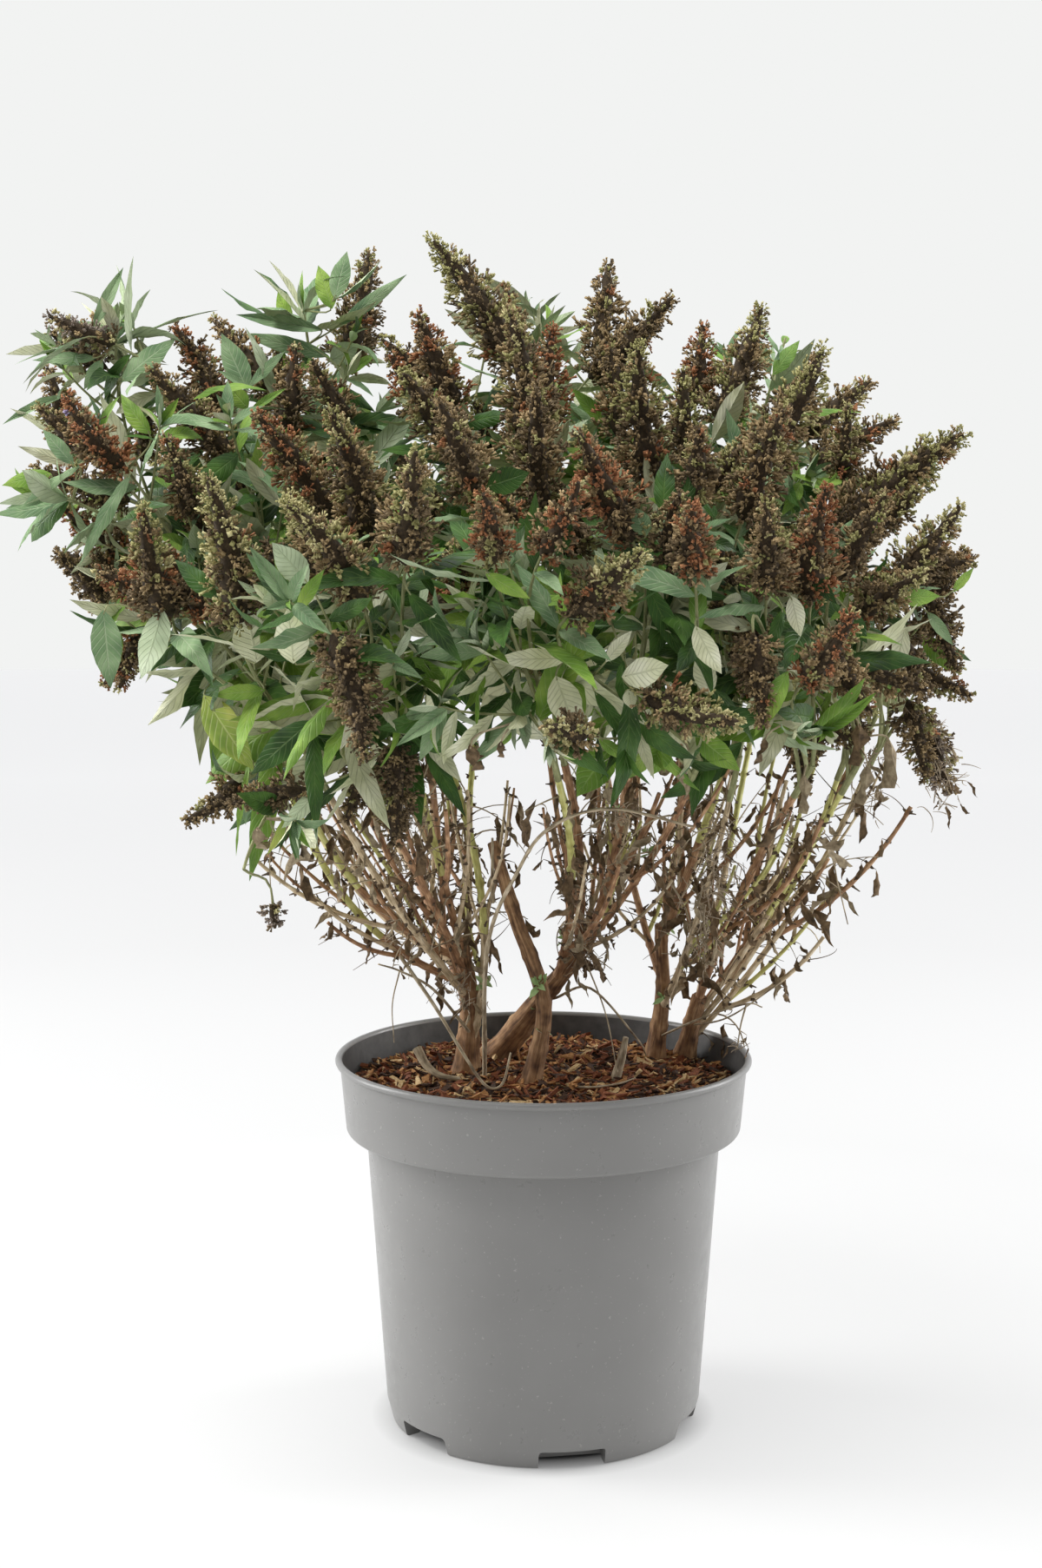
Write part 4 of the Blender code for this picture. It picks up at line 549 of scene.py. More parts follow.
def add(tree, kind, inputs=None, stops=None, **settings):
    """Adds a node with its settings. An input is given a value, or the output that it is linked to."""
    node = tree.nodes.new("ShaderNode" + kind)
    for key, value in settings.items():
        setattr(node, key, value)
    for place, (position, colour) in enumerate(stops or ()):
        elements = node.color_ramp.elements
        element = elements[place] if place < 2 else elements.new(position)
        element.position = position
        element.color = linear(colour)
    for key, value in (inputs or {}).items():
        if isinstance(value, bpy.types.NodeSocket):
            tree.links.new(value, node.inputs[key])
        else:
            node.inputs[key].default_value = value
    return node


def new_material(name, **surface):
    """A material with an empty tree but for its shader, whose plain sockets take these values."""
    material = bpy.data.materials.new(name)
    material.use_nodes = True
    tree = material.node_tree
    shader = tree.nodes["Principled BSDF"]
    for key, value in surface.items():
        shader.inputs[key.replace("_", " ")].default_value = value
    return material, tree, shader


def mottled(name, tones, grain_mm, roughness, bump_mm, stretch=(1, 1, 1)):
    """A rough natural finish: three tones mixed by a noise of this grain, which also raises the surface."""
    material, tree, shader = new_material(name, Roughness=roughness)
    place = add(tree, "TexCoord").outputs["Object"]
    turned = add(tree, "Mapping", {"Vector": place, "Scale": stretch}).outputs["Vector"]
    grain = add(
        tree, "TexNoise", {"Vector": turned, "Scale": 1000 / grain_mm, "Detail": 4.0, "Roughness": 0.6}
    )
    ramp = add(tree, "ValToRGB", {"Fac": grain.outputs["Fac"]}, stops=list(zip((0.28, 0.74, 0.5), tones)))
    tree.links.new(ramp.outputs["Color"], shader.inputs["Base Color"])
    bump = add(tree, "Bump", {"Height": grain.outputs["Fac"], "Strength": 0.6, "Distance": bump_mm / 1000})
    tree.links.new(bump.outputs["Normal"], shader.inputs["Normal"])
    return material


def bark(name, tones, fibre_mm, roughness, bump_mm):
    """Bark with long fibres: noise drawn out along the limb, on a UV map that holds centimetres."""
    material, tree, shader = new_material(name, Roughness=roughness)
    place = add(tree, "TexCoord").outputs["UV"]
    fibres = add(tree, "Mapping", {"Vector": place, "Scale": (10 / fibre_mm, 10 / fibre_mm / 14, 1)})
    grain = add(
        tree, "TexNoise", {"Vector": fibres.outputs["Vector"], "Scale": 1.0, "Detail": 5.0, "Roughness": 0.65}
    )
    patches = add(tree, "TexNoise", {"Vector": place, "Scale": 0.9, "Detail": 2.0})
    both = add(
        tree, "Math", {0: grain.outputs["Fac"], 1: patches.outputs["Fac"], 2: 0.22}, operation="MULTIPLY_ADD"
    )
    ramp = add(tree, "ValToRGB", {"Fac": both.outputs["Value"]}, stops=list(zip((0.36, 0.62, 0.48), tones)))
    tree.links.new(ramp.outputs["Color"], shader.inputs["Base Color"])
    bump = add(tree, "Bump", {"Height": grain.outputs["Fac"], "Strength": 0.8, "Distance": bump_mm / 1000})
    tree.links.new(bump.outputs["Normal"], shader.inputs["Normal"])
    return material


def leaf_skin(name, tones, vein, vein_share, roughness, relief_mm, specular):
    """A leaf's skin: mottled tones, and veins from the UV map, which runs across the leaf and along it."""
    material, tree, shader = new_material(name, Roughness=roughness, Specular_IOR_Level=specular)
    coordinates = add(tree, "TexCoord")
    across_along = add(tree, "SeparateXYZ", {0: coordinates.outputs["UV"]})
    centred = add(tree, "Math", {0: across_along.outputs["X"], 1: 0.5}, operation="SUBTRACT")
    off_rib = add(tree, "Math", {0: centred.outputs["Value"]}, operation="ABSOLUTE").outputs["Value"]
    rib = add(tree, "MapRange", {"Value": off_rib, "From Min": RIB_WIDTH, "From Max": 0.0})
    slanted = add(
        tree, "Math", {0: off_rib, 1: VEIN_SLANT, 2: across_along.outputs["Y"]}, operation="MULTIPLY_ADD"
    )
    rows = add(tree, "Math", {0: slanted.outputs["Value"], 1: VEIN_PAIRS}, operation="MULTIPLY")
    waves = add(tree, "Math", {0: rows.outputs["Value"], 1: 1.0}, operation="PINGPONG").outputs["Value"]
    side_veins = add(tree, "MapRange", {"Value": waves, "From Min": 0.3, "From Max": 0.0, "To Max": 0.8})
    veins = add(
        tree, "Math", {0: rib.outputs["Result"], 1: side_veins.outputs["Result"]}, operation="MAXIMUM"
    ).outputs["Value"]
    grain = add(tree, "TexNoise", {"Vector": coordinates.outputs["Object"], "Scale": 45.0, "Detail": 3.0})
    ramp = add(tree, "ValToRGB", {"Fac": grain.outputs["Fac"]}, stops=list(zip((0.3, 0.72, 0.5), tones)))
    share = add(tree, "Math", {0: veins, 1: vein_share}, operation="MULTIPLY")
    mixed = add(
        tree,
        "Mix",
        {"Factor": share.outputs["Value"], 6: ramp.outputs["Color"], 7: linear(vein)},
        data_type="RGBA",
    )
    tree.links.new(mixed.outputs[2], shader.inputs["Base Color"])
    bump = add(tree, "Bump", {"Height": veins, "Strength": 0.7, "Distance": relief_mm / 1000})
    tree.links.new(bump.outputs["Normal"], shader.inputs["Normal"])
    return material


def arrays(bm):
    """A bmesh as arrays: its points, its triangles' corners, their UVs, and each triangle's finish."""
    bmesh.ops.triangulate(bm, faces=bm.faces)
    bm.verts.index_update()
    layer = bm.loops.layers.uv.active or bm.loops.layers.uv.new("Surface")
    points = np.array([vert.co[:] for vert in bm.verts])
    corners = np.array([[loop.vert.index for loop in face.loops] for face in bm.faces])
    uvs = np.array([[loop[layer].uv[:] for loop in face.loops] for face in bm.faces])
    finishes = np.array([face.material_index for face in bm.faces])
    bm.free()
    return points, corners, uvs, finishes


class Pile:
    """Small shapes of one kind, gathered as arrays and joined into a few large meshes."""

    def __init__(self, name, slot, nodes, *materials, sharp=60):
        self.name, self.slot, self.nodes, self.materials, self.sharp = name, slot, nodes, materials, sharp
        self.pieces = []
        self.start_piece()

    def start_piece(self):
        self.parts, self.points, self.triangles = [], 0, 0

    def add(self, shape, places=None):
        """Adds a copy of the shape at each place, or the shape as it is."""
        points, corners, uvs, finishes = shape
        if places is None:
            places = np.eye(4)[None]
        count = len(places)
        if not count:
            return
        if self.triangles + count * len(corners) > PIECE_LIMIT:
            self.finish_piece()
        moved = np.einsum("kij,nj->kni", places[:, :3, :3], points) + places[:, None, :3, 3]
        offsets = self.points + np.arange(count) * len(points)
        faces = (corners[None] + offsets[:, None, None]).reshape(-1, 3)
        repeated = np.tile(uvs, (count, 1, 1)), np.tile(finishes, count)
        self.parts.append((moved.reshape(-1, 3), faces, *repeated))
        self.points += count * len(points)
        self.triangles += count * len(corners)

    def finish_piece(self):
        """Makes one mesh object of what has been gathered since the last."""
        points, faces, uvs, finishes = (np.concatenate(group) for group in zip(*self.parts))
        name = f"{self.name}_{len(self.pieces) + 1}"
        mesh = bpy.data.meshes.new(name)
        mesh.vertices.add(len(points))
        mesh.vertices.foreach_set("co", (points * CM).astype(np.float32).ravel())
        mesh.loops.add(faces.size)
        mesh.loops.foreach_set("vertex_index", faces.astype(np.int32).ravel())
        mesh.polygons.add(len(faces))
        mesh.polygons.foreach_set("loop_start", np.arange(0, faces.size, 3, dtype=np.int32))
        mesh.polygons.foreach_set("material_index", finishes.astype(np.int32))
        mesh.update(calc_edges=True)
        mesh.uv_layers.new(name="Surface").data.foreach_set("uv", uvs.astype(np.float32).ravel())
        for material in self.materials:
            mesh.materials.append(material)
        self.pieces.append(placed(name, mesh, self.nodes, self.sharp))
        self.start_piece()

    def finish(self):
        if self.parts:
            self.finish_piece()


def placed(name, mesh, nodes, sharp):
    """Makes the mesh a piece of the plant that stands for these solids."""
    mesh.shade_smooth()
    mesh.set_sharp_from_angle(angle=math.radians(sharp))
    made = bpy.data.objects.new(name, mesh)
    bpy.context.scene.collection.objects.link(made)
    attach(made, "root")
    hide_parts(*nodes)
    return made


def blend(pair, share):
    return pair[0] + (pair[1] - pair[0]) * share


def across(table, x):
    """The value at x in a table of (x, value) rows, straight between them."""
    for (x0, v0), (x1, v1) in zip(table, table[1:]):
        if x <= x1:
            return v0 + (v1 - v0) * max(0, x - x0) / (x1 - x0)
    return table[-1][1]


def smooth_path(points, steps):
    """A smooth path through the points, with this many steps from one to the next."""
    path = []
    for i, (a, b) in enumerate(zip(points, points[1:])):
        before = points[i - 1] if i else 2 * a - b
        after = points[i + 2] if i + 2 < len(points) else 2 * b - a
        for k in range(steps):
            t = k / steps
            bend = (b - before) * t + (2 * before - 5 * a + 4 * b - after) * t**2
            path.append(a + 0.5 * (bend + (3 * a - before - 3 * b + after) * t**3))
    path.append(points[-1])
    return path


def stem_path(name, steps=12):
    """The stem's axis and its radius at each point, with the flare at its foot."""
    (foot, *rest), foot_radius, tip_radius = STEMS[name]
    points = [Vector((*foot, SOIL_TOP + GAP)), *map(Vector, rest)]
    path = smooth_path(points, steps)
    radii = []
    for point in path:
        share = (point.z - path[0].z) / (path[-1].z - path[0].z)
        flare = 1 + FLARE_GAIN * math.exp(-(point.z - path[0].z) / FLARE_HEIGHT)
        radii.append(blend((foot_radius, tip_radius), share) * flare)
    return path, radii


def stem_axis_at(name, height):
    path, _ = stem_path(name)
    for a, b in zip(path, path[1:]):
        if height <= b.z:
            return a.lerp(b, (height - a.z) / (b.z - a.z))
    return path[-1]


def cane_path(name, steps=5):
    """The cane's axis, from its stem's axis through its halfway point to its tip, and the radius at each."""
    stem, height, middle, tip, foot_radius, tip_radius = CANES[name]
    start, middle, tip = stem_axis_at(stem, height), Vector(middle), Vector(tip)
    control = 2 * middle - (start + tip) / 2
    path, radii = [], []
    for i in range(steps + 1):
        t = i / steps
        path.append((1 - t) ** 2 * start + 2 * t * (1 - t) * control + t * t * tip)
        radii.append(blend((foot_radius, tip_radius), t))
    return path, radii


def lean_direction(lean_right, lean_back):
    right, back = math.radians(lean_right), math.radians(lean_back)
    return Vector((math.sin(right) * math.cos(back), math.sin(back), math.cos(right) * math.cos(back)))


def curve_path(start, leaving, end, arriving, steps):
    """A smooth path that leaves one point and arrives at the other along these directions."""
    reach = (end - start).length * SHOOT_STIFFNESS
    controls = start, start + leaving * reach, end - arriving * reach, end
    path = []
    for i in range(steps + 1):
        t = i / steps
        shares = (1 - t) ** 3, 3 * t * (1 - t) ** 2, 3 * t * t * (1 - t), t**3
        path.append(sum((share * point for share, point in zip(shares, controls)), Vector()))
    return path


def shoot_path(start, rising, tip, length, facing):
    """The shoot to its spike, which leaves the mass's stem aslant and arrives the way the spike faces."""
    end = tip - facing * length
    leaving = (rising + SHOOT_SLANT * (end - start).normalized()).normalized()
    return curve_path(start, leaving, end, facing, SHOOT_STEPS)


def point_along(path, share):
    """The point this share of the way along a path, and the way the path runs there."""
    lengths = [(b - a).length for a, b in zip(path, path[1:])]
    left = share * sum(lengths)
    for (a, b), length in zip(zip(path, path[1:]), lengths):
        if left <= length + 1e-9:
            return a.lerp(b, left / length), (b - a).normalized()
        left -= length
    return path[-1].copy(), (path[-1] - path[-2]).normalized()


def square_to(direction, turn):
    """A direction square to this one, turned this far round it."""
    return Matrix.Rotation(turn, 3, direction) @ direction.orthogonal().normalized()


def path_length(path):
    return sum((b - a).length for a, b in zip(path, path[1:]))


def in_crown(points):
    """Whether all the points keep inside the dome of the crown."""
    for x, y, z in points:
        reach = math.hypot((x - CROWN_CENTRE[0]) / CROWN_REACH[0], (y - CROWN_CENTRE[1]) / CROWN_REACH[1])
        if reach > 1 or not across(CROWN_FOOT, x) - LEAF_DROP < z < across(CROWN_TOP, x):
            return False
    return True


RODS = {}


def rod(sides, rings):
    """A closed rod of radius 1 with this many rings of points, whose height counts the rings."""
    if (sides, rings) not in RODS:
        bm = bmesh.new()
        bmesh.ops.create_cone(
            bm, cap_ends=True, cap_tris=True, segments=sides, radius1=1, radius2=1, depth=rings - 1
        )
        upright = [edge for edge in bm.edges if abs(edge.verts[0].co.z - edge.verts[1].co.z) > 0.5]
        bmesh.ops.subdivide_edges(bm, edges=upright, cuts=rings - 2)
        bmesh.ops.translate(bm, vec=(0, 0, (rings - 1) / 2), verts=bm.verts)
        points, corners, _, finishes = arrays(bm)
        rings_at = np.rint(points[:, 2]).astype(int)
        turns = np.arctan2(points[:, 1], points[:, 0])[corners] / math.tau
        turns += (turns.max(axis=1, keepdims=True) - turns > 0.5)
        RODS[sides, rings] = points[:, :2], rings_at, corners, turns, finishes
    return RODS[sides, rings]


def limb(path, radii, sides, relief=None):
    """A tube along the path, with a UV map in centimetres. Relief scales the radius at each point."""
    spots, rings_at, corners, turns, finishes = rod(sides, len(path))
    centres = np.array([point[:] for point in path])
    onward = np.gradient(centres, axis=0)
    onward /= np.linalg.norm(onward, axis=1, keepdims=True)
    side = np.array(Vector(onward[0]).orthogonal().normalized())
    sides_at = []
    for direction in onward:
        side = side - direction * side.dot(direction)
        side /= np.linalg.norm(side)
        sides_at.append(side)
    sides_at = np.array(sides_at)
    backs_at = np.cross(onward, sides_at)
    sizes = np.asarray(radii)[rings_at]
    if relief is not None:
        sizes = sizes * relief(spots, rings_at)
    out = spots[:, :1] * sides_at[rings_at] + spots[:, 1:] * backs_at[rings_at]
    points = centres[rings_at] + out * sizes[:, None]
    run = np.concatenate([[0], np.cumsum(np.linalg.norm(np.diff(centres, axis=0), axis=1))])
    girth = math.tau * float(np.mean(radii))
    uvs = np.stack([turns * girth, run[rings_at][corners]], axis=2)
    return points, corners, uvs, finishes


def blade(bend, fold, curl, wave, stations, strips, phase=0.0, twist=0.0, teeth=0.035, crumple=0.0):
    """A leaf of length 1, two skins that meet at its edge: bent down, folded along its rib, and waved."""
    bm = bmesh.new()
    bm.loops.layers.uv.new("Surface")
    for skin in (1, -1):
        grid = bmesh.ops.create_grid(bm, x_segments=strips, y_segments=stations, size=0.5, calc_uvs=True)
        made = grid["verts"]
        faces = list({face for vert in made for face in vert.link_faces})
        if skin == 1:
            bmesh.ops.reverse_faces(bm, faces=faces)
        for face in faces:
            face.material_index = 0 if skin == 1 else 1
        for vert in made:
            x, t = 2 * vert.co.x, vert.co.y + 0.5
            half = LEAF_SHAPE_ASPECT / 2 * t**0.9 * (1 - t) ** 1.2 / LEAF_OUTLINE_PEAK
            if abs(x) > 0.99 and round(t * stations) % 2:
                half *= 1 - teeth
            lift = fold * abs(x) - curl * x * x + wave * x * math.sin(3 * math.tau * t + phase)
            lift += crumple * noise.noise(Vector((x * 1.7, t * 6, phase * 9)))
            lift = lift * half + skin * 0.004 * (1 - x * x) * math.sin(math.pi * t)
            angle = bend * t
            flat = Vector((x * half, lift, 0))
            flat.rotate(Matrix.Rotation(twist * t, 3, "Z"))
            rib = Vector((0, (math.cos(angle) - 1) / bend, math.sin(angle) / bend))
            vert.co = rib + Vector((flat.x, flat.y * math.cos(angle), flat.y * math.sin(angle)))
    bmesh.ops.remove_doubles(bm, verts=bm.verts, dist=1e-4)
    return arrays(bm)


def dry_tube(foot, mouth):
    """A dried flower of length 1: a three-sided tube, wider or narrower at its mouth."""
    bm = bmesh.new()
    up = Matrix.Translation((0, 0, 0.5))
    bmesh.ops.create_cone(bm, cap_ends=True, segments=3, radius1=foot, radius2=mouth, depth=1, matrix=up)
    return arrays(bm)


def seed_case(girth, lean):
    """A seed capsule of length 1: a four-sided body, pointed at both ends."""
    bm = bmesh.new()
    bmesh.ops.create_uvsphere(bm, u_segments=4, v_segments=2, radius=1)
    for vert in bm.verts:
        along = 0.5 + vert.co.z / 2
        vert.co.z = along if abs(vert.co.z) > 0.5 else 0.4
        vert.co.x = vert.co.x * girth + lean * along**2
        vert.co.y *= girth
    return arrays(bm)


def chip(rng, taper):
    """A chip of bark of length 1: a flat splinter with uneven corners."""
    bm = bmesh.new()
    bmesh.ops.create_cube(bm, size=1)
    for vert in bm.verts:
        vert.co = [value * rng.uniform(0.7, 1.15) for value in vert.co]
        if vert.co.x > 0:
            vert.co.yz *= taper
    return arrays(bm)


def frames_towards(directions, rolls):
    """Three directions square to each other for each row, the last of them along the row's direction."""
    helper = np.where(np.abs(directions[:, 2:]) < 0.9, [[0.0, 0.0, 1.0]], [[1.0, 0.0, 0.0]])
    side = np.cross(helper, directions)
    side /= np.linalg.norm(side, axis=1, keepdims=True)
    back = np.cross(directions, side)
    cos, sin = np.cos(rolls)[:, None], np.sin(rolls)[:, None]
    return side * cos + back * sin, back * cos - side * sin, directions


def matrices(side, back, along, points, widths, lengths):
    """A matrix for each row, which sets a shape at its point, at its width and its length."""
    made = np.zeros((len(points), 4, 4))
    made[:, :3, 0] = side * widths[:, None]
    made[:, :3, 1] = back * widths[:, None]
    made[:, :3, 2] = along * lengths[:, None]
    made[:, :3, 3] = points
    made[:, 3, 3] = 1
    return made


class Room:
    """What leaves keep out of: the limbs and the spikes, each held as rounded rods."""

    def __init__(self):
        self.starts, self.ends, self.radii, self.owners = [], [], [], []

    def add(self, owner, path, radii):
        for i, (a, b) in enumerate(zip(path, path[1:])):
            self.starts.append(a[:])
            self.ends.append(b[:])
            self.radii.append(max(radii[i], radii[i + 1]))
            self.owners.append(owner)

    def close(self):
        self.a, self.b = np.array(self.starts), np.array(self.ends)
        self.r, self.who = np.array(self.radii), np.array(self.owners)
        self.ab = self.b - self.a
        self.square = (self.ab**2).sum(axis=1)

    def clear(self, points, spare, own):
        """Whether the points keep this much clear of all but what this owner holds."""
        points = np.asarray(points)
        offset = points[:, None] - self.a[None]
        share = np.clip((offset * self.ab).sum(axis=2) / self.square, 0, 1)
        gap = np.linalg.norm(offset - share[..., None] * self.ab, axis=2) - self.r
        gap[:, self.who == own] = 9
        return gap.min() > spare


def spike_half_width(length):
    return (SPIKE_WIDTH[0] + SPIKE_WIDTH[1] * length) / 2


def flower_spike(foot, facing, length, tone, piles, shapes, rng):
    """A spent flower spike: whorls of clusters of dried flowers and seed cases round a dark core."""
    foot, facing = np.array(foot[:]), np.array(facing[:])
    side, back, _ = (row[0] for row in frames_towards(facing[None], np.zeros(1)))
    half_width = spike_half_width(length)
    bow = side * rng.normal(0, SPIKE_BOW) + back * rng.normal(0, SPIKE_BOW)

    def on_axis(share):
        """The points of the bowed axis at these shares of its length."""
        return foot + (share * length)[:, None] * facing + (np.sin(share * 3) * length)[:, None] * bow

    def outward(turns):
        """The directions square to the spike at these turns round it."""
        return np.cos(turns)[:, None] * side + np.sin(turns)[:, None] * back

    whorls = max(4, int(length / WHORL_SPACING))
    shares = (np.arange(whorls) + 0.3) / whorls
    steps, widths = zip(*SPIKE_PROFILE)
    cluster_share = np.repeat(shares, CLUSTERS) + rng.uniform(-0.4, 0.4, whorls * CLUSTERS) / whorls
    cluster_share = np.clip(cluster_share, 0, 0.985)
    around = np.tile(np.arange(CLUSTERS) * math.tau / CLUSTERS, whorls)
    around = around + np.repeat(np.arange(whorls) * WHORL_TURN + rng.uniform(0, 6), CLUSTERS)
    around += rng.normal(0, 0.16, len(around))
    reach = np.interp(cluster_share, steps, widths) * half_width * rng.uniform(0.68, 1.16, len(around))
    kept = rng.uniform(size=len(around)) < CLUSTERS_LEFT
    shares_foot, shares_tip = (np.array(row) for row in TONES[tone])
    odds = shares_foot + (shares_tip - shares_foot) * np.clip(cluster_share * 1.15, 0, 1)[:, None] ** 1.4
    odds = np.cumsum(odds / odds.sum(axis=1, keepdims=True), axis=1)
    colour = (rng.uniform(size=len(around))[:, None] > odds).sum(axis=1)
    cluster_share, around, reach, colour = (row[kept] for row in (cluster_share, around, reach, colour))

    count = np.clip(np.rint(FLOWERS * (0.45 + 0.55 * reach / half_width)), 3, FLOWERS).astype(int)
    index = np.repeat(np.arange(len(around)), count)
    total = len(index)
    azimuth = around[index] + rng.normal(0, 0.34, total)
    rising = np.radians(rng.uniform(-22, 62, total)) + 0.5 * cluster_share[index] ** 3
    directions = np.cos(rising)[:, None] * outward(azimuth) + np.sin(rising)[:, None] * facing
    directions /= np.linalg.norm(directions, axis=1, keepdims=True)
    axis_share = cluster_share[index] + rng.uniform(-0.012, 0.03, total)
    middle_reach = reach[index] * rng.uniform(0.35, 0.84, total)
    starts = on_axis(axis_share) + outward(around[index]) * middle_reach[:, None]
    lengths = rng.uniform(*FLOWER_LENGTH, total) * np.clip(reach[index] / 1.5, 0.55, 1.15)
    girths = rng.uniform(*FLOWER_WIDTH, total) * (0.7 + 0.3 * lengths / FLOWER_LENGTH[1])
    places = matrices(*frames_towards(directions, rng.uniform(0, 6, total)), starts, girths, lengths)
    deal_flowers(piles, shapes["flowers"], places, colour[index], rng)

    index = np.repeat(np.arange(len(around)), LUMPS)
    total = len(index)
    azimuth = around[index] + rng.normal(0, 0.3, total)
    out = outward(azimuth)
    directions = out + facing * rng.uniform(0.1, 1.1, total)[:, None]
    directions /= np.linalg.norm(directions, axis=1, keepdims=True)
    axis_share = cluster_share[index] + rng.uniform(-0.02, 0.02, total)
    starts = on_axis(axis_share) + out * (reach[index] * rng.uniform(0.3, 0.66, total))[:, None]
    lengths = rng.uniform(*LUMP_LENGTH, total) * np.clip(reach[index] / 1.5, 0.5, 1.1)
    places = matrices(
        *frames_towards(directions, rng.uniform(0, 6, total)), starts, lengths * LUMP_GIRTH, lengths
    )
    deal_flowers(piles, shapes["lumps"], places, colour[index], rng)

    rings = max(6, int(length * 1.6))
    core_share = np.linspace(0, 0.97, rings)
    core_radii = np.interp(core_share, steps, widths) * half_width * CORE_GIRTH * rng.uniform(0.7, 1.2, rings)
    core_radii[0] = CORE_FOOT
    piles["core"].add(limb([Vector(point) for point in on_axis(core_share)], core_radii, 6))


def deal_flowers(piles, shapes, places, colours, rng):
    """Deals the placed flowers out to the pile of their colour, each in one of the shapes."""
    kinds = rng.integers(0, len(shapes), len(places))
    for tint, colour in enumerate(FLOWER_COLOURS):
        for kind, shape in enumerate(shapes):
            piles[colour].add(shape, places[(colours == tint) & (kinds == kind)])


def grow_frame():
    """The paths of all limbs: each mass's stem and shoots, named as their solids are."""
    masses = {}
    for name, rows in SHOOTS.items():
        path, _ = cane_path(f"cane_{name}")
        rising = (path[-1] - path[-2]).normalized()
        foot = path[-1]
        top = foot + rising * MASS_STEM_LENGTH
        shoots = []
        for i, (*tip, length, lean_right, lean_back) in enumerate(rows):
            facing = lean_direction(lean_right, lean_back)
            start = foot.lerp(top, blend(SHOOT_HEIGHTS, i / (len(rows) - 1)))
            axis = shoot_path(start, rising, Vector(tip), length, facing)
            shoots.append((axis, facing, length, SPIKE_TONES[name][i]))
        masses[name] = (foot, top, shoots)
    return masses


def fill_room(masses):
    room = Room()
    for name in STEMS:
        room.add(name, *stem_path(name, 3))
    for name in CANES:
        room.add(name, *cane_path(name))
    for name, (foot, top, shoots) in masses.items():
        room.add(name, [foot, top], MASS_STEM_RADII)
        for i, (axis, facing, length, _) in enumerate(shoots):
            room.add(f"{name}_{i}", axis[::2], [SHOOT_RADII[0]] * len(axis))
            if length:
                half = spike_half_width(length)
                spine = [axis[-1] + facing * length * share for share in (0.05, 0.35, 0.65, 1.0)]
                room.add("spikes", spine, [0.8 * half, 0.8 * half, 0.5 * half, 0.1 * half])
    for *place, _ in HAND_SPIKES:
        room.add("spikes", [Vector(place[:3]), Vector(place[3:])], [1.0, 1.0])
    for rows in HAND_LEAVES.values():
        for *place, width, _ in rows:
            room.add("by hand", [Vector(place[:3]), Vector(place[3:])], [0.35 * width] * 2)
    return room


def leaf_kind(share, height, young, rng):
    """Which of the leaves' colours a leaf takes: felted near the tips, yellow-green only low down."""
    roll = rng.random()
    if young:
        return "felted" if roll < 0.62 else "fresh"
    if share > 0.8 and roll < 0.45:
        return "felted"
    if height < 50 and roll < 0.25:
        return "yellow"
    if roll < 0.34:
        return "fresh"
    return "dark"


def set_leaf(piles, shapes, room, own, point, direction, upper, length, aspect, kind, rng):
    """Adds a leaf at the largest of its tried sizes that keeps clear of the rest, if one does."""
    side = upper.cross(direction).normalized()
    above = direction.cross(side)
    for share in LEAF_TRIES:
        size = length * share
        bow = -above * size * 0.12
        probes = [point + direction * size * t + bow * t * 2 for t in (0.45, 0.72, 1.0)]
        if in_crown(probes) and room.clear(probes, 0.12, own):
            piles[kind].add(rng.choice(shapes), leaf_place(point, side, above, direction, size, aspect))
            return


def leaf_place(point, side, above, direction, size, aspect):
    """The matrix that sets a leaf's shape at its foot, at its length and its width."""
    width = size * aspect / LEAF_SHAPE_ASPECT
    place = Matrix((side * width, above * size, direction * size)).transposed().to_4x4()
    place.translation = point
    return np.array(place)[None]


def pair_of_leaves(piles, shapes, room, own, point, onward, around, spread, length, share, young, rng):
    """Two opposite leaves at a node of a shoot."""
    for half in (0, math.pi):
        out = square_to(onward, around + half + rng.uniform(-0.25, 0.25))
        angle = math.radians(spread + rng.uniform(-13, 13))
        hang = LEAF_HANG * rng.uniform(0.4, 1.9) * (LOW_HANG if point.z < LOW_HEIGHT else 1)
        direction = (onward * math.cos(angle) + out * math.sin(angle) - Vector((0, 0, hang))).normalized()
        upper = onward * math.sin(angle) - out * math.cos(angle)
        roll = rng.gauss(0, 0.42)
        if rng.random() < (LOW_FLIPS if point.z < LOW_HEIGHT else HIGH_FLIPS):
            roll += rng.choice((-1, 1)) * rng.uniform(1.6, 2.8)
        upper = Matrix.Rotation(roll, 3, direction) @ upper
        kind = leaf_kind(share, point.z, young, rng)
        size = length * rng.uniform(*LEAF_JITTER)
        aspect = rng.uniform(*LEAF_ASPECT)
        set_leaf(piles, shapes, room, own, point, direction, upper, size, aspect, kind, rng)


def clothe_shoot(piles, shapes, room, own, axis, leafy_end, rng):
    """Pairs of leaves along a shoot, each pair turned a quarter from the last."""
    whole = path_length(axis)
    pairs = max(2, int(whole * (1 - LEAF_FIRST) / NODE_SPACING))
    around = rng.uniform(0, math.tau)
    for k in range(pairs):
        share = LEAF_FIRST + (1 - LEAF_FIRST) * (k + 0.5) / pairs
        point, onward = point_along(axis, share)
        spread = blend(LEAF_SPREAD, share)
        length = blend(LEAF_LENGTH, share)
        pair_of_leaves(
            piles, shapes["large"], room, own, point, onward, around + k * math.pi / 2, spread, length, share,
            False, rng,
        )
    if leafy_end:
        point, onward = point_along(axis, 1.0)
        for k, (spread, length) in enumerate(END_PAIRS):
            pair_of_leaves(
                piles, shapes["large"], room, own, point - onward * (1.5 - 0.5 * k), onward,
                around + k * math.pi / 2, spread, length, 1.0, k > 1, rng,
            )
    return around


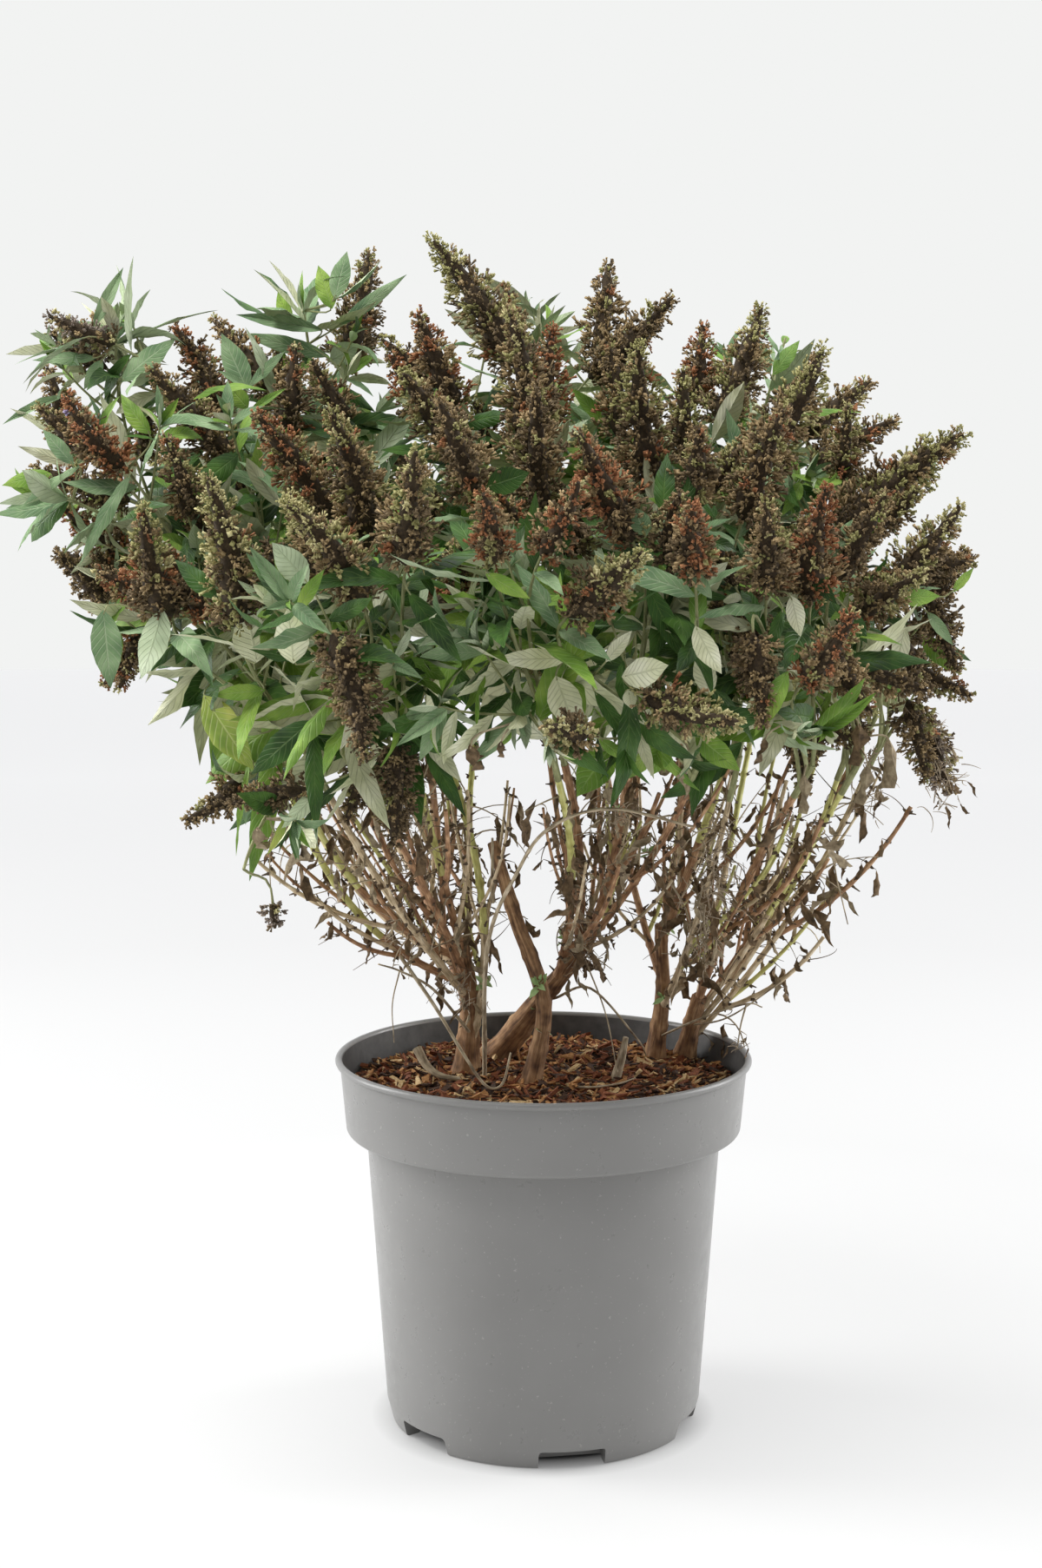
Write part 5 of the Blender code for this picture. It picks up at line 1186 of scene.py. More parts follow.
def side_shoot(start, onward, out, length, rng):
    """A short side shoot that leaves its shoot aslant and turns up."""
    leaving = (onward * 0.75 + out * 0.8).normalized()
    facing = (leaving + Vector((0, 0, rng.uniform(0.1, 0.6)))).normalized()
    end = start + (leaving + facing).normalized() * length
    return curve_path(start, leaving, end, facing, 6), facing


def build_crown(masses, room, materials):
    """All that grows beyond the canes: twigs, leaves and spent flowers, each kind joined."""
    nodes = [f"mass_{name}" for name in SHOOTS]
    leaf_piles = {
        kind: Pile(f"leaves_{kind}", "foliage", nodes, materials[f"leaf_{kind}"], materials[below])
        for kind, below in (
            ("dark", "leaf_underside"), ("fresh", "leaf_underside"), ("yellow", "leaf_underside"),
            ("felted", "young_underside"),
        )
    }
    flower_piles = {
        colour: Pile(f"dry_flowers_{colour}", "foliage", nodes, materials[f"flower_{colour}"], sharp=180)
        for colour in FLOWER_COLOURS
    }
    flower_piles["core"] = Pile("spike_cores", "foliage", nodes, materials["spike_core"])
    twig_pile = Pile("shoots", "foliage", nodes, materials["shoot_bark"])
    shapes = leaf_shapes()
    flowers = flower_shapes()
    set_hand_leaves(masses, leaf_piles, shapes["calm"], twig_pile, ("dark", "fresh", "felted", "yellow"))
    set_hand_spikes(masses, flower_piles, flowers, twig_pile)
    for number, (name, (foot, top, shoots)) in enumerate(masses.items()):
        rng = random.Random(SEED + number)
        numbers = np.random.default_rng(SEED + number)
        twig_pile.add(limb([foot, foot.lerp(top, 0.5), top], (0.24, 0.22, 0.19), 8))
        for i, (axis, facing, length, tone) in enumerate(shoots):
            own = f"{name}_{i}"
            twig_pile.add(limb(axis, shoot_radii(len(axis)), 6))
            if length:
                flower_spike(axis[-1], facing, length, tone, flower_piles, flowers, numbers)
            around = clothe_shoot(leaf_piles, shapes, room, own, axis, length == 0, rng)
            grow_side_shoots(
                own, axis, around, tone, room, leaf_piles, twig_pile, flower_piles, shapes, flowers, rng,
                numbers,
            )
    for pile in (*leaf_piles.values(), *flower_piles.values(), twig_pile):
        pile.finish()


def shoot_spots(masses):
    """The places on the shoots that a stalk may leave from."""
    return [point for _, _, shoots in masses.values() for axis, *_ in shoots for point in axis[2:]]


def stalk_to(foot, direction, spots):
    """A stalk's path from the nearest of the spots to the foot of what it carries."""
    root = min(spots, key=lambda spot: (spot - foot).length)
    return curve_path(root, (foot - root).normalized(), foot + direction * 0.3, direction, 5)


def set_hand_spikes(masses, piles, shapes, twig_pile):
    """The small spikes given one by one, each on a stalk from the nearest shoot."""
    spots = shoot_spots(masses)
    numbers = np.random.default_rng(SEED + 800)
    for *place, tone in HAND_SPIKES:
        foot, tip = Vector(place[:3]), Vector(place[3:])
        facing = (tip - foot).normalized()
        flower_spike(foot, facing, (tip - foot).length, tone, piles, shapes, numbers)
        twig_pile.add(limb(stalk_to(foot, facing, spots), [0.1, 0.1, 0.09, 0.09, 0.08, 0.08], 5))


def set_hand_leaves(masses, piles, shapes, twig_pile, kinds):
    """The leaves given one by one, each on a thin stalk from the nearest shoot."""
    spots = shoot_spots(masses)
    rng = random.Random(SEED + 700)
    for kind in kinds:
        for *place, width, face in HAND_LEAVES[kind]:
            foot, tip = Vector(place[:3]), Vector(place[3:])
            direction = (tip - foot).normalized()
            length = (tip - foot).length
            side = Vector((0, -1, 0.25)).cross(direction).normalized()
            roll = {1: 0.0, -1: math.pi, 0: 1.2}[face] + rng.gauss(0, 0.22)
            side = Matrix.Rotation(roll, 3, direction) @ side
            above = direction.cross(side)
            leaf_at = leaf_place(foot, side, above, direction, length, width / length)
            piles[kind].add(rng.choice(shapes), leaf_at)
            twig_pile.add(limb(stalk_to(foot, direction, spots), [0.08, 0.075, 0.07, 0.065, 0.06, 0.05], 5))


def shoot_radii(count):
    return [blend(SHOOT_RADII, i / (count - 1)) for i in range(count)]


def grow_side_shoots(
    own, axis, around, tone, room, leaf_piles, twig_pile, flower_piles, shapes, flowers, rng, numbers
):
    """Side shoots in the upper leaf axils, which end in young leaves or in a small spike."""
    for k in range(SIDE_SHOOTS):
        share = rng.uniform(0.3, 0.92)
        start, onward = point_along(axis, share)
        out = square_to(onward, around + rng.uniform(0, math.tau))
        length = rng.uniform(*SIDE_LENGTH) * (1.1 - 0.4 * share)
        path, facing = side_shoot(start, onward, out, length, rng)
        flowering = tone and rng.random() < SIDE_SPIKE_SHARE
        spike_length = rng.uniform(*SIDE_SPIKE) if flowering else 0
        tip = path[-1] + facing * (spike_length + 1)
        if not (in_crown([tip]) and room.clear([path[3], path[-1], tip], 0.5, own)):
            continue
        twig_pile.add(limb(path, [blend((0.1, 0.07), i / 6) for i in range(7)], 5))
        if flowering:
            flower_spike(path[-1], facing, spike_length, tone, flower_piles, flowers, numbers)
        pairs = max(1, int(length / 2.0))
        for pair in range(pairs):
            along = (pair + 0.7) / (pairs + 0.2)
            point, ahead = point_along(path, min(along, 1.0))
            size = blend(SIDE_LEAF_LENGTH, along)
            pair_of_leaves(
                leaf_piles, shapes["large"], room, own, point, ahead, around + pair * math.pi / 2,
                SIDE_LEAF_SPREAD, size, along, False, rng,
            )
        if not flowering:
            for pair, (spread, size) in enumerate(YOUNG_PAIRS):
                pair_of_leaves(
                    leaf_piles, shapes["small"], room, own, path[-1] - facing * (0.6 - 0.3 * pair), facing,
                    around + pair * math.pi / 2, spread, size, 1.0, True, rng,
                )


def leaf_shapes():
    large = [
        blade(bend, fold, curl, wave, 10, 4, phase)
        for bend, fold, curl, wave, phase in (
            (0.35, 0.25, 0.20, 0.06, 0.0),
            (0.60, 0.40, 0.30, 0.10, 1.0),
            (0.95, 0.20, 0.35, 0.14, 2.0),
            (1.30, 0.35, 0.10, 0.10, 3.0),
            (0.20, 0.50, 0.15, 0.08, 4.0),
            (-0.40, 0.30, 0.30, 0.12, 5.0),
            (0.75, 0.10, 0.45, 0.16, 2.6),
        )
    ]
    small = [
        blade(bend, fold, curl, 0.08, 7, 2, phase)
        for bend, fold, curl, phase in ((0.5, 0.45, 0.1, 0.0), (0.9, 0.6, 0.0, 1.0), (-0.4, 0.7, 0.1, 2.0))
    ]
    calm = [
        blade(bend, fold, curl, wave, 12, 4, phase)
        for bend, fold, curl, wave, phase in (
            (0.20, 0.30, 0.20, 0.10, 0.5),
            (0.35, 0.20, 0.30, 0.14, 2.5),
            (0.30, 0.45, 0.10, 0.08, 4.4),
        )
    ]
    return {"large": large, "small": small, "calm": calm}


def flower_shapes():
    flowers = [dry_tube(0, 1.5), dry_tube(0, 1.3), dry_tube(0, 1.7), dry_tube(1.2, 0), dry_tube(0.5, 1.2)]
    return {"flowers": flowers, "lumps": [seed_case(1.0, 0.2), seed_case(1.2, -0.3), seed_case(0.8, 0.0)]}


def ringed_radii(path, radii, rng):
    """A cane's radii with a swelling at every node, and where its nodes are."""
    runs = [0]
    for a, b in zip(path, path[1:]):
        runs.append(runs[-1] + (b - a).length)
    nodes = []
    at = rng.uniform(0.8, NODE_STEP)
    while at < runs[-1] - 0.3:
        nodes.append(at)
        at += NODE_STEP * rng.uniform(0.8, 1.25)
    swollen = []
    for run, radius in zip(runs, radii):
        bulge = sum(math.exp(-(((run - node) / NODE_WIDTH) ** 2)) for node in nodes)
        swollen.append(radius * (1 + NODE_SWELL * min(1, bulge)) * rng.uniform(0.96, 1.04))
    return swollen, [node / runs[-1] for node in nodes]


def resampled(path, step):
    """The same path with a point at every step."""
    count = max(4, round(path_length(path) / step))
    return [point_along(path, i / count)[0] for i in range(count + 1)]


def grow_cane(path, radii, barks, tone, green_from, sides, stubs, piles, dry_shapes, seed):
    """One ringed cane, green from this share of it on, with what its fallen leaves left at its nodes."""
    rng = random.Random(seed)
    path = resampled(path, RING_STEP)
    steps = len(path) - 1
    sizes, nodes = ringed_radii(path, [blend(radii, i / steps) for i in range(steps + 1)], rng)
    split = min(steps, max(2, int(green_from * steps)))
    barks[tone].add(limb(path[: split + 1], sizes[: split + 1], sides, bark_relief(seed, CANE_RELIEF)))
    if split < steps - 2:
        barks["green"].add(limb(path[split:], sizes[split:], sides))
    for k, share in enumerate(nodes):
        point, onward = point_along(path, share)
        out = square_to(onward, k * math.pi / 2 + seed)
        for way in (1, -1):
            node_growth(point, onward, out * way, radii[0], stubs, piles, dry_shapes, rng)


def build_limbs(materials, dry_shapes, piles):
    """Stems with bark relief, ringed canes, and the thinner canes that the crown hides the ends of."""
    stems = Pile("stems", "stem_bark", list(STEMS), materials["stem_bark"])
    for number, name in enumerate(STEMS):
        path, radii = stem_path(name, 22)
        swells = [1 + STEM_SWELL * max(0, math.sin(point.z * 1.9)) ** 8 for point in path]
        swollen = [radius * swell for radius, swell in zip(radii, swells)]
        stems.add(limb(path, swollen, 28, bark_relief(number, STEM_RELIEF)))
    stems.finish()
    barks = {
        tone: Pile(f"canes_{tone}", "cane_bark", list(CANES), materials[f"cane_{tone}"])
        for tone in ("brown", "tan", "green")
    }
    stubs = Pile("cane_stubs", "cane_bark", list(CANES), materials["dead_bark"])
    for number, (name, row) in enumerate(CANES.items()):
        path, _ = cane_path(name, 40)
        tone = "tan" if number % 4 == 3 or name in GREY_CANES else "brown"
        green_from = CANE_GREEN.get(name, NO_GREEN_END)
        radii = [radius * CANE_SLIMNESS for radius in row[4:]]
        grow_cane(path, radii, barks, tone, green_from, 12, stubs, piles, dry_shapes, SEED + 100 + number)
        rng = random.Random(SEED + 200 + number)
        for k in range(THIN_CANES):
            start, onward = point_along(path, rng.uniform(0.05, 0.5))
            out = square_to(onward, rng.uniform(0, math.tau))
            leaving = (onward + out * rng.uniform(0.3, 0.8)).normalized()
            facing = (onward + out * 0.2 + Vector((0, 0, 0.5))).normalized()
            end = start + (leaving + facing).normalized() * rng.uniform(*THIN_CANE_LENGTH)
            radius = rng.uniform(*THIN_CANE_RADIUS)
            thin_path = curve_path(start, leaving, end, facing, 12)
            thin_tone = rng.choice(THIN_CANE_TONES)
            grow_cane(
                thin_path, (radius, radius * 0.7), barks, thin_tone, NO_GREEN_END, 8, stubs, piles,
                dry_shapes, SEED + 500 + 3 * number + k,
            )
    for pile in (*barks.values(), stubs):
        pile.finish()


def bark_relief(number, depth):
    """Ridges along the bark: how much further out than its radius each point of a limb lies."""

    def relief(spots, rings_at):
        scales = []
        for (x, y), ring in zip(spots, rings_at):
            low = noise.noise(Vector((x * 1.6, y * 1.6, ring * 0.05 + number * 7)))
            fine = noise.noise(Vector((x * 5.5, y * 5.5, ring * 0.10 + number * 7)))
            scales.append(1 + depth * low + depth * 0.8 * fine)
        return np.array(scales)

    return relief


def node_growth(point, onward, out, radius, stubs, piles, dry_shapes, rng):
    """What stands at one side of a node: a stub, a dry petiole, or a shrivelled leaf."""
    roll = rng.random()
    start = point + out * radius * 0.7
    aim = (out + onward * rng.uniform(0.2, 0.9)).normalized()
    knob = (out + Vector([rng.gauss(0, 0.4) for _ in range(3)])).normalized()
    stubs.add(limb([start - knob * 0.1, start + knob * 0.12, start + knob * 0.3], (0.10, 0.15, 0.06), 4))
    if roll < 0.5:
        length = rng.uniform(0.3, 0.8)
        stubs.add(limb([start, start + aim * length * 0.5, start + aim * length], (0.11, 0.08, 0.05), 4))
    elif roll < 0.8:
        dry_leaf(start, aim, rng.uniform(0.9, 2.8), stubs, piles, dry_shapes, rng)
    else:
        thread(start, aim, rng.uniform(1.5, 4.0), stubs, rng)


def thread(start, aim, length, pile, rng, radius=0.045, steps=8):
    """A dry curled thread: what is left of a leaf stalk or a thin twig."""
    path, direction = [start], aim.copy()
    turn = Vector([rng.gauss(0, 0.35) for _ in range(3)])
    for _ in range(steps):
        direction = (direction + turn * 0.5 - Vector((0, 0, 0.10))).normalized()
        path.append(path[-1] + direction * length / steps)
    pile.add(limb(path, [radius * (1 - 0.6 * i / steps) for i in range(steps + 1)], 5))
    return path


def dry_leaf(start, aim, length, stubs, piles, shapes, rng):
    """A shrivelled leaf that hangs from its node by a short stalk."""
    path = thread(start, aim, rng.uniform(0.4, 1.0), stubs, rng, 0.05, 4)
    hang = (path[-1] - path[-2]).normalized() * 0.4 + Vector((rng.gauss(0, 0.3), rng.gauss(0, 0.3), -1))
    directions = np.array(hang.normalized()[:])[None]
    side, back, along = frames_towards(directions, np.array([rng.uniform(0, math.tau)]))
    size = np.array([length])
    places = matrices(side, back, along, np.array(path[-1][:])[None], size * DEAD_LEAF_WIDTH, size)
    piles[rng.choice(("dead_dark", "dead_dark", "dead_grey"))].add(rng.choice(shapes), places)


def dry_leaf_shapes():
    return [
        blade(bend, fold, curl, 0.4, 8, 3, phase, twist, 0.0, 0.9)
        for bend, fold, curl, phase, twist in (
            (1.4, 0.9, 1.4, 0.0, 3.4),
            (0.7, 1.2, -0.4, 1.4, -4.2),
            (-1.2, 0.7, 1.2, 3.0, 2.8),
            (2.1, 1.0, 0.8, 4.2, -3.0),
            (0.5, 1.5, 0.2, 5.1, 5.0),
        )
    ]


def build_dead_growth(masses, materials):
    """Dry twigs, threads and shrivelled leaves under the crown, the canes' stubs among them."""
    dark, grey = materials["dead_leaf_dark"], materials["dead_leaf_grey"]
    piles = {
        "dead_dark": Pile("dead_leaves_dark", "foliage", ["dry_twig"], dark, dark),
        "dead_grey": Pile("dead_leaves_grey", "foliage", ["dry_twig"], grey, grey),
        "twigs": Pile("dry_twigs", "cane_bark", ["dry_twig"], materials["dead_twig"]),
        "grey_threads": Pile("dry_threads", "cane_bark", ["dry_twig"], materials["dead_thread"]),
    }
    shapes = dry_leaf_shapes()
    set_hand_leaves(masses, piles, shapes, piles["twigs"], ("dead_dark", "dead_grey"))
    path = smooth_path([Vector(point) for point in DRY_TWIG], 10)
    knots = [1.25 if i % 7 == 3 else 1.0 for i in range(len(path))]
    radii = [blend(DRY_TWIG_RADII, i / (len(path) - 1)) * knot for i, knot in enumerate(knots)]
    piles["twigs"].add(limb(path, radii, 8))
    rng = random.Random(SEED + 300)
    for name in CANES:
        axis, _ = cane_path(name, 12)
        for _ in range(DEAD_TWIGS):
            share = rng.uniform(0.12, 0.95)
            point, onward = point_along(axis, share)
            out = square_to(onward, rng.uniform(0, math.tau))
            aim = (out * 0.7 + onward * 0.7).normalized()
            length = rng.uniform(*DEAD_TWIG_LENGTH)
            made = thread(point, aim, length, piles["twigs"], rng, 0.075, 10)
            for along in (3, 6, 9):
                if rng.random() < 0.45:
                    dry_leaf(made[along], Vector((rng.gauss(0, 1), rng.gauss(0, 1), 0.2)).normalized(),
                             rng.uniform(1.3, 4.2), piles["twigs"], piles, shapes, rng)
    for points, radius in THIN_TWIGS:
        path = smooth_path([Vector(point) for point in points], 8)
        taper = [radius * (1 - 0.5 * i / (len(path) - 1)) for i in range(len(path))]
        piles["twigs"].add(limb(path, taper, 6))
    for points, spread, count in TANGLES:
        tangle([Vector(point) for point in points], spread, count, piles, shapes, rng)
    build_limbs(materials, shapes, piles)
    build_sprouts(materials)
    for pile in piles.values():
        pile.finish()


def tangle(points, spread, count, piles, shapes, rng):
    """A dry, matted remnant: threads and shrivelled leaves heaped along a line."""
    path = smooth_path(points, 6)
    for _ in range(count):
        middle, _ = point_along(path, rng.random())
        start = middle + Vector([rng.gauss(0, spread) for _ in range(3)])
        aim = Vector([rng.gauss(0, 1) for _ in range(3)]).normalized()
        thread(start, aim, rng.uniform(1.2, 3.2) * spread, piles["grey_threads"], rng, 0.04, 5)
        if rng.random() < 0.3:
            dry_leaf(start, aim, rng.uniform(0.9, 1.9), piles["grey_threads"], piles, shapes, rng)


def build_sprouts(materials):
    """Fresh rosettes of small leaves that break from the old wood, each where its limb passes nearest."""
    pile = Pile("sprouts", "foliage", list(CANES), materials["leaf_sprout"], materials["leaf_underside"])
    shapes = leaf_shapes()["small"]
    limbs = [stem_path(name)[0] for name in STEMS] + [cane_path(name, 16)[0] for name in CANES]
    rng = random.Random(SEED + 600)
    for place in SPROUTS:
        target = Vector(place)
        point = min((spot for path in limbs for spot in path), key=lambda spot: (spot - target).length)
        axis = Vector((rng.gauss(0, 0.5), rng.gauss(-0.6, 0.4), 0.8)).normalized()
        for k, (spread, scale) in enumerate(zip(SPROUT_SPREADS, SPROUT_SIZES)):
            size = rng.uniform(0.5, 0.9) * scale
            for half in (0, math.pi):
                out = square_to(axis, k * math.pi / 2 + half)
                angle = math.radians(spread + rng.uniform(-8, 8))
                direction = (axis * math.cos(angle) + out * math.sin(angle)).normalized()
                upper = axis * math.sin(angle) - out * math.cos(angle)
                side = upper.cross(direction).normalized()
                root = point + axis * (0.3 + 0.2 * k)
                leaf_at = leaf_place(root, side, direction.cross(side), direction, size, SPROUT_ASPECT)
                pile.add(rng.choice(shapes), leaf_at)
        pile.add(limb([point, point + axis * 0.4, point + axis * 0.8], (0.1, 0.07, 0.05), 5))
    pile.finish()


def spun(profile, steps):
    """Turns a profile of (radius, height) points round the axis into a closed bmesh."""
    bm = bmesh.new()
    points = [bm.verts.new((radius, 0, height)) for radius, height in profile]
    edges = [bm.edges.new(pair) for pair in zip(points, points[1:])]
    bmesh.ops.spin(
        bm, geom=points + edges, axis=(0, 0, 1), cent=(0, 0, 0), angle=math.tau, steps=steps, use_merge=True
    )
    bmesh.ops.remove_doubles(bm, verts=bm.verts, dist=1e-4)
    bmesh.ops.recalc_face_normals(bm, faces=bm.faces)
    return bm


def arc(centre, radius, start, end, steps):
    """Points along an arc in the profile's plane, with the angles in degrees."""
    angles = (math.radians(start + (end - start) * i / steps) for i in range(steps + 1))
    return [(centre[0] + radius * math.cos(a), centre[1] + radius * math.sin(a)) for a in angles]


def scaled_mesh(name, bm):
    bmesh.ops.scale(bm, vec=(CM, CM, CM), verts=bm.verts)
    mesh = bpy.data.meshes.new(name)
    bm.to_mesh(mesh)
    bm.free()
    return mesh


def notch_cutter():
    """The blocks that take the drainage notches out of the foot, joined in one mesh."""
    bm = bmesh.new()
    for i in range(NOTCH_COUNT):
        inner, outer = FOOT_RADIUS - NOTCH_DEPTH, FOOT_RADIUS + 2
        half = FOOT_RADIUS * math.tan(NOTCH_ARC / 2)
        made = bmesh.ops.create_cube(bm, size=1)["verts"]
        bmesh.ops.scale(bm, vec=(2 * half, outer - inner, NOTCH_HEIGHT + 1), verts=made)
        bmesh.ops.translate(bm, vec=(0, -(inner + outer) / 2, (NOTCH_HEIGHT - 1) / 2), verts=made)
        turn = Matrix.Rotation(NOTCH_FIRST + i * math.tau / NOTCH_COUNT, 3, "Z")
        bmesh.ops.rotate(bm, matrix=turn, verts=made)
    top = [edge for edge in bm.edges if all(vert.co.z > NOTCH_HEIGHT - 0.01 for vert in edge.verts)]
    bmesh.ops.bevel(bm, geom=top, offset=0.25, segments=3, profile=0.5, affect="EDGES", material=-1)
    return scaled_mesh("notches", bm)


def build_pot(materials):
    """The pot: a turned shell with a beaded lip and a stepped collar, less its drainage notches."""
    bead = LIP_HEIGHT / 2
    inner_collar = COLLAR_FOOT_RADIUS - WALL + 0.1
    profile = [
        (0, 0.25),
        (FOOT_RADIUS - 1.4, 0.25),
        (FOOT_RADIUS - 1.1, 0.0),
        *arc((FOOT_RADIUS - 0.3, 0.3), 0.3, -90, -8, 5),
        (WAIST_RADIUS, WAIST_HEIGHT),
        (NECK_RADIUS, COLLAR_FOOT - 0.15),
        *arc((COLLAR_FOOT_RADIUS - 0.35, COLLAR_FOOT + 0.35), 0.35, -90, 0, 6),
        (COLLAR_TOP_RADIUS, POT_HEIGHT - LIP_HEIGHT - 0.1),
        *arc((LIP_RADIUS - bead, POT_HEIGHT - bead), bead, -80, 180, 12),
        (LIP_RADIUS - 2 * bead - 0.04, POT_HEIGHT - LIP_HEIGHT - 0.2),
        (inner_collar, POT_FLOOR + 0.4),
        (inner_collar - 0.5, POT_FLOOR),
        (0, POT_FLOOR),
    ]
    mesh = scaled_mesh("pot_shell", spun(profile, TURN_STEPS))
    shell = bpy.data.objects.new("pot_shell", mesh)
    cutter = bpy.data.objects.new("notches", notch_cutter())
    for obj in (shell, cutter):
        bpy.context.scene.collection.objects.link(obj)
    cut = shell.modifiers.new("Notches", "BOOLEAN")
    cut.object = cutter
    cut.solver = "EXACT"
    graph = bpy.context.evaluated_depsgraph_get()
    done = bpy.data.meshes.new_from_object(shell.evaluated_get(graph))
    bpy.data.objects.remove(shell)
    bpy.data.objects.remove(cutter)
    done.materials.clear()
    done.materials.append(materials["pot_plastic"])
    done.materials.append(materials["pot_inside_painted_shade"])
    # The inner wall takes the darker finish, painted shade within the pot.
    for face in done.polygons:
        x, y, z = face.center
        inward = face.normal.x * x + face.normal.y * y < 0
        face.material_index = int(z > POT_FLOOR * CM * 0.99 and (inward or face.normal.z > 0.5)
                                  and math.hypot(x, y) < (LIP_RADIUS - LIP_HEIGHT) * CM)
    placed("pot_shell", done, ["pot"], 35)


def soil_height(x, y):
    """The compost's surface: a low mound, heaped unevenly."""
    reach = math.hypot(x, y) / SOIL_RADIUS
    mound = 0.55 * (1 - reach**2) - 0.35
    heaps = 0.45 * noise.noise(Vector((x * 0.35, y * 0.35, 3.0)))
    crumbs = 0.22 * noise.noise(Vector((x * 1.3, y * 1.3, 8.0)))
    return SOIL_TOP + mound + heaps + crumbs


def build_soil(materials):
    """Bark compost: a rough surface, strewn with chips and fibres of bark."""
    rings = 34
    profile = [(SOIL_RADIUS * i / rings, SOIL_TOP) for i in range(rings + 1)]
    profile += [(SOIL_RADIUS, POT_FLOOR + 0.5), (0, POT_FLOOR + 0.5)]
    bm = spun(profile, 120)
    for vert in bm.verts:
        if vert.co.z > SOIL_TOP - 0.1:
            vert.co.z = soil_height(vert.co.x, vert.co.y)
    mesh = scaled_mesh("compost", bm)
    mesh.materials.append(materials["compost"])
    placed("compost", mesh, ["soil"], 80)
    rng = random.Random(SEED + 400)
    shapes = [chip(rng, taper) for taper in CHIP_TAPERS]
    numbers = np.random.default_rng(SEED + 401)
    for tone, count, longest in CHIPS:
        pile = Pile(f"bark_chips_{tone}", "bark_compost", ["soil"], materials[f"chip_{tone}"], sharp=30)
        radius = (SOIL_RADIUS - 0.5) * np.sqrt(numbers.uniform(0, 1, count))
        angle = numbers.uniform(0, math.tau, count)
        x, y = radius * np.cos(angle), radius * np.sin(angle)
        length = longest * numbers.uniform(0.25, 1.0, count) ** 1.6
        length = np.minimum(length, 2 * (SOIL_RADIUS - 0.1 - radius) + 0.25)
        z = np.array([soil_height(a, b) for a, b in zip(x, y)]) + numbers.uniform(-0.05, 0.22, count)
        lift = np.radians(numbers.normal(0, 17, count))
        yaw = numbers.uniform(0, math.tau, count)
        along = np.stack([np.cos(yaw) * np.cos(lift), np.sin(yaw) * np.cos(lift), np.sin(lift)], axis=1)
        side, back, _ = frames_towards(along, numbers.normal(0, 0.5, count))
        places = np.zeros((count, 4, 4))
        places[:, :3, 0] = along * length[:, None]
        places[:, :3, 1] = side * (length * numbers.uniform(0.09, 0.32, count))[:, None]
        places[:, :3, 2] = back * (length * numbers.uniform(0.06, 0.16, count))[:, None]
        places[:, :3, 3] = np.stack([x, y, z], axis=1)
        places[:, 3, 3] = 1
        kinds = numbers.integers(0, len(shapes), count)
        for kind, shape in enumerate(shapes):
            pile.add(shape, places[kinds == kind])
        pile.finish()


def build_materials():
    """All the materials, each under the name of the piece or the part of the plant that it is for."""
    made = {key: mottled(*row) for key, row in MOTTLED.items()}
    made.update((key, bark(*row)) for key, row in BARKS.items())
    made.update((key, leaf_skin(*row)) for key, row in LEAF_SKINS.items())
    # Polypropylene, injection moulded: an even satin grey with faint flow marks, scuffs and dust.
    made["pot_plastic"] = moulded_polypropylene(
        "moulded_polypropylene", ("#7e7d7b", "#868583", "#82817f"), 0.42
    )
    for tone, tones in CHIP_COLOURS.items():
        made[f"chip_{tone}"] = mottled(f"split_bark_{tone}", tones, 2.5, 0.9, 0.5, (1, 1, 3))
    for colour, tones in FLOWER_TONES.items():
        made[f"flower_{colour}"] = mottled(f"dried_flower_{colour}", tones, 4, 0.92, 0.2)
    return made


def moulded_polypropylene(name, tones, roughness):
    """Moulded plastic: slow changes of tone, faint speckles, and light scuffs that change only the gloss."""
    material, tree, shader = new_material(name, Roughness=roughness)
    place = add(tree, "TexCoord").outputs["Object"]
    cloud = add(tree, "TexNoise", {"Vector": place, "Scale": 9.0, "Detail": 3.0})
    ramp = add(tree, "ValToRGB", {"Fac": cloud.outputs["Fac"]}, stops=list(zip((0.3, 0.7, 0.5), tones)))
    specks = add(tree, "TexNoise", {"Vector": place, "Scale": 420.0, "Detail": 2.0})
    mask = add(
        tree, "MapRange", {"Value": specks.outputs["Fac"], "From Min": 0.68, "From Max": 0.74, "To Max": 0.35}
    )
    mixed = add(
        tree,
        "Mix",
        {"Factor": mask.outputs["Result"], 6: ramp.outputs["Color"], 7: linear("#b9b6b0")},
        data_type="RGBA",
    )
    tree.links.new(mixed.outputs[2], shader.inputs["Base Color"])
    scuffs = add(tree, "TexNoise", {"Vector": place, "Scale": 60.0, "Detail": 6.0, "Roughness": 0.7})
    gloss = add(
        tree,
        "MapRange",
        {"Value": scuffs.outputs["Fac"], "From Min": 0.35, "From Max": 0.7, "To Min": 0.27, "To Max": 0.42},
    )
    tree.links.new(gloss.outputs["Result"], shader.inputs["Roughness"])
    bump = add(tree, "Bump", {"Height": scuffs.outputs["Fac"], "Strength": 0.12, "Distance": 0.0004})
    tree.links.new(bump.outputs["Normal"], shader.inputs["Normal"])
    return material


def build_camera():
    data = bpy.data.cameras.new("camera")
    data.sensor_width = SENSOR
    data.lens = FOCAL_PIXELS / IMAGE_SIZE[1] * SENSOR
    data.clip_start, data.clip_end = 0.05, 60
    camera = bpy.data.objects.new("camera", data)
    camera.location = CAMERA_PLACE
    camera.rotation_euler = (math.pi / 2 - CAMERA_DOWN, 0, 0)
    bpy.context.scene.collection.objects.link(camera)
    bpy.context.scene.camera = camera


def area_light(name, place, target, size, power):
    data = bpy.data.lights.new(name, "AREA")
    data.shape = "RECTANGLE"
    data.size, data.size_y = size
    data.energy = power
    light = bpy.data.objects.new(name, data)
    light.location = place
    light.rotation_euler = (Vector(target) - Vector(place)).to_track_quat("-Z", "Y").to_euler()
    bpy.context.scene.collection.objects.link(light)


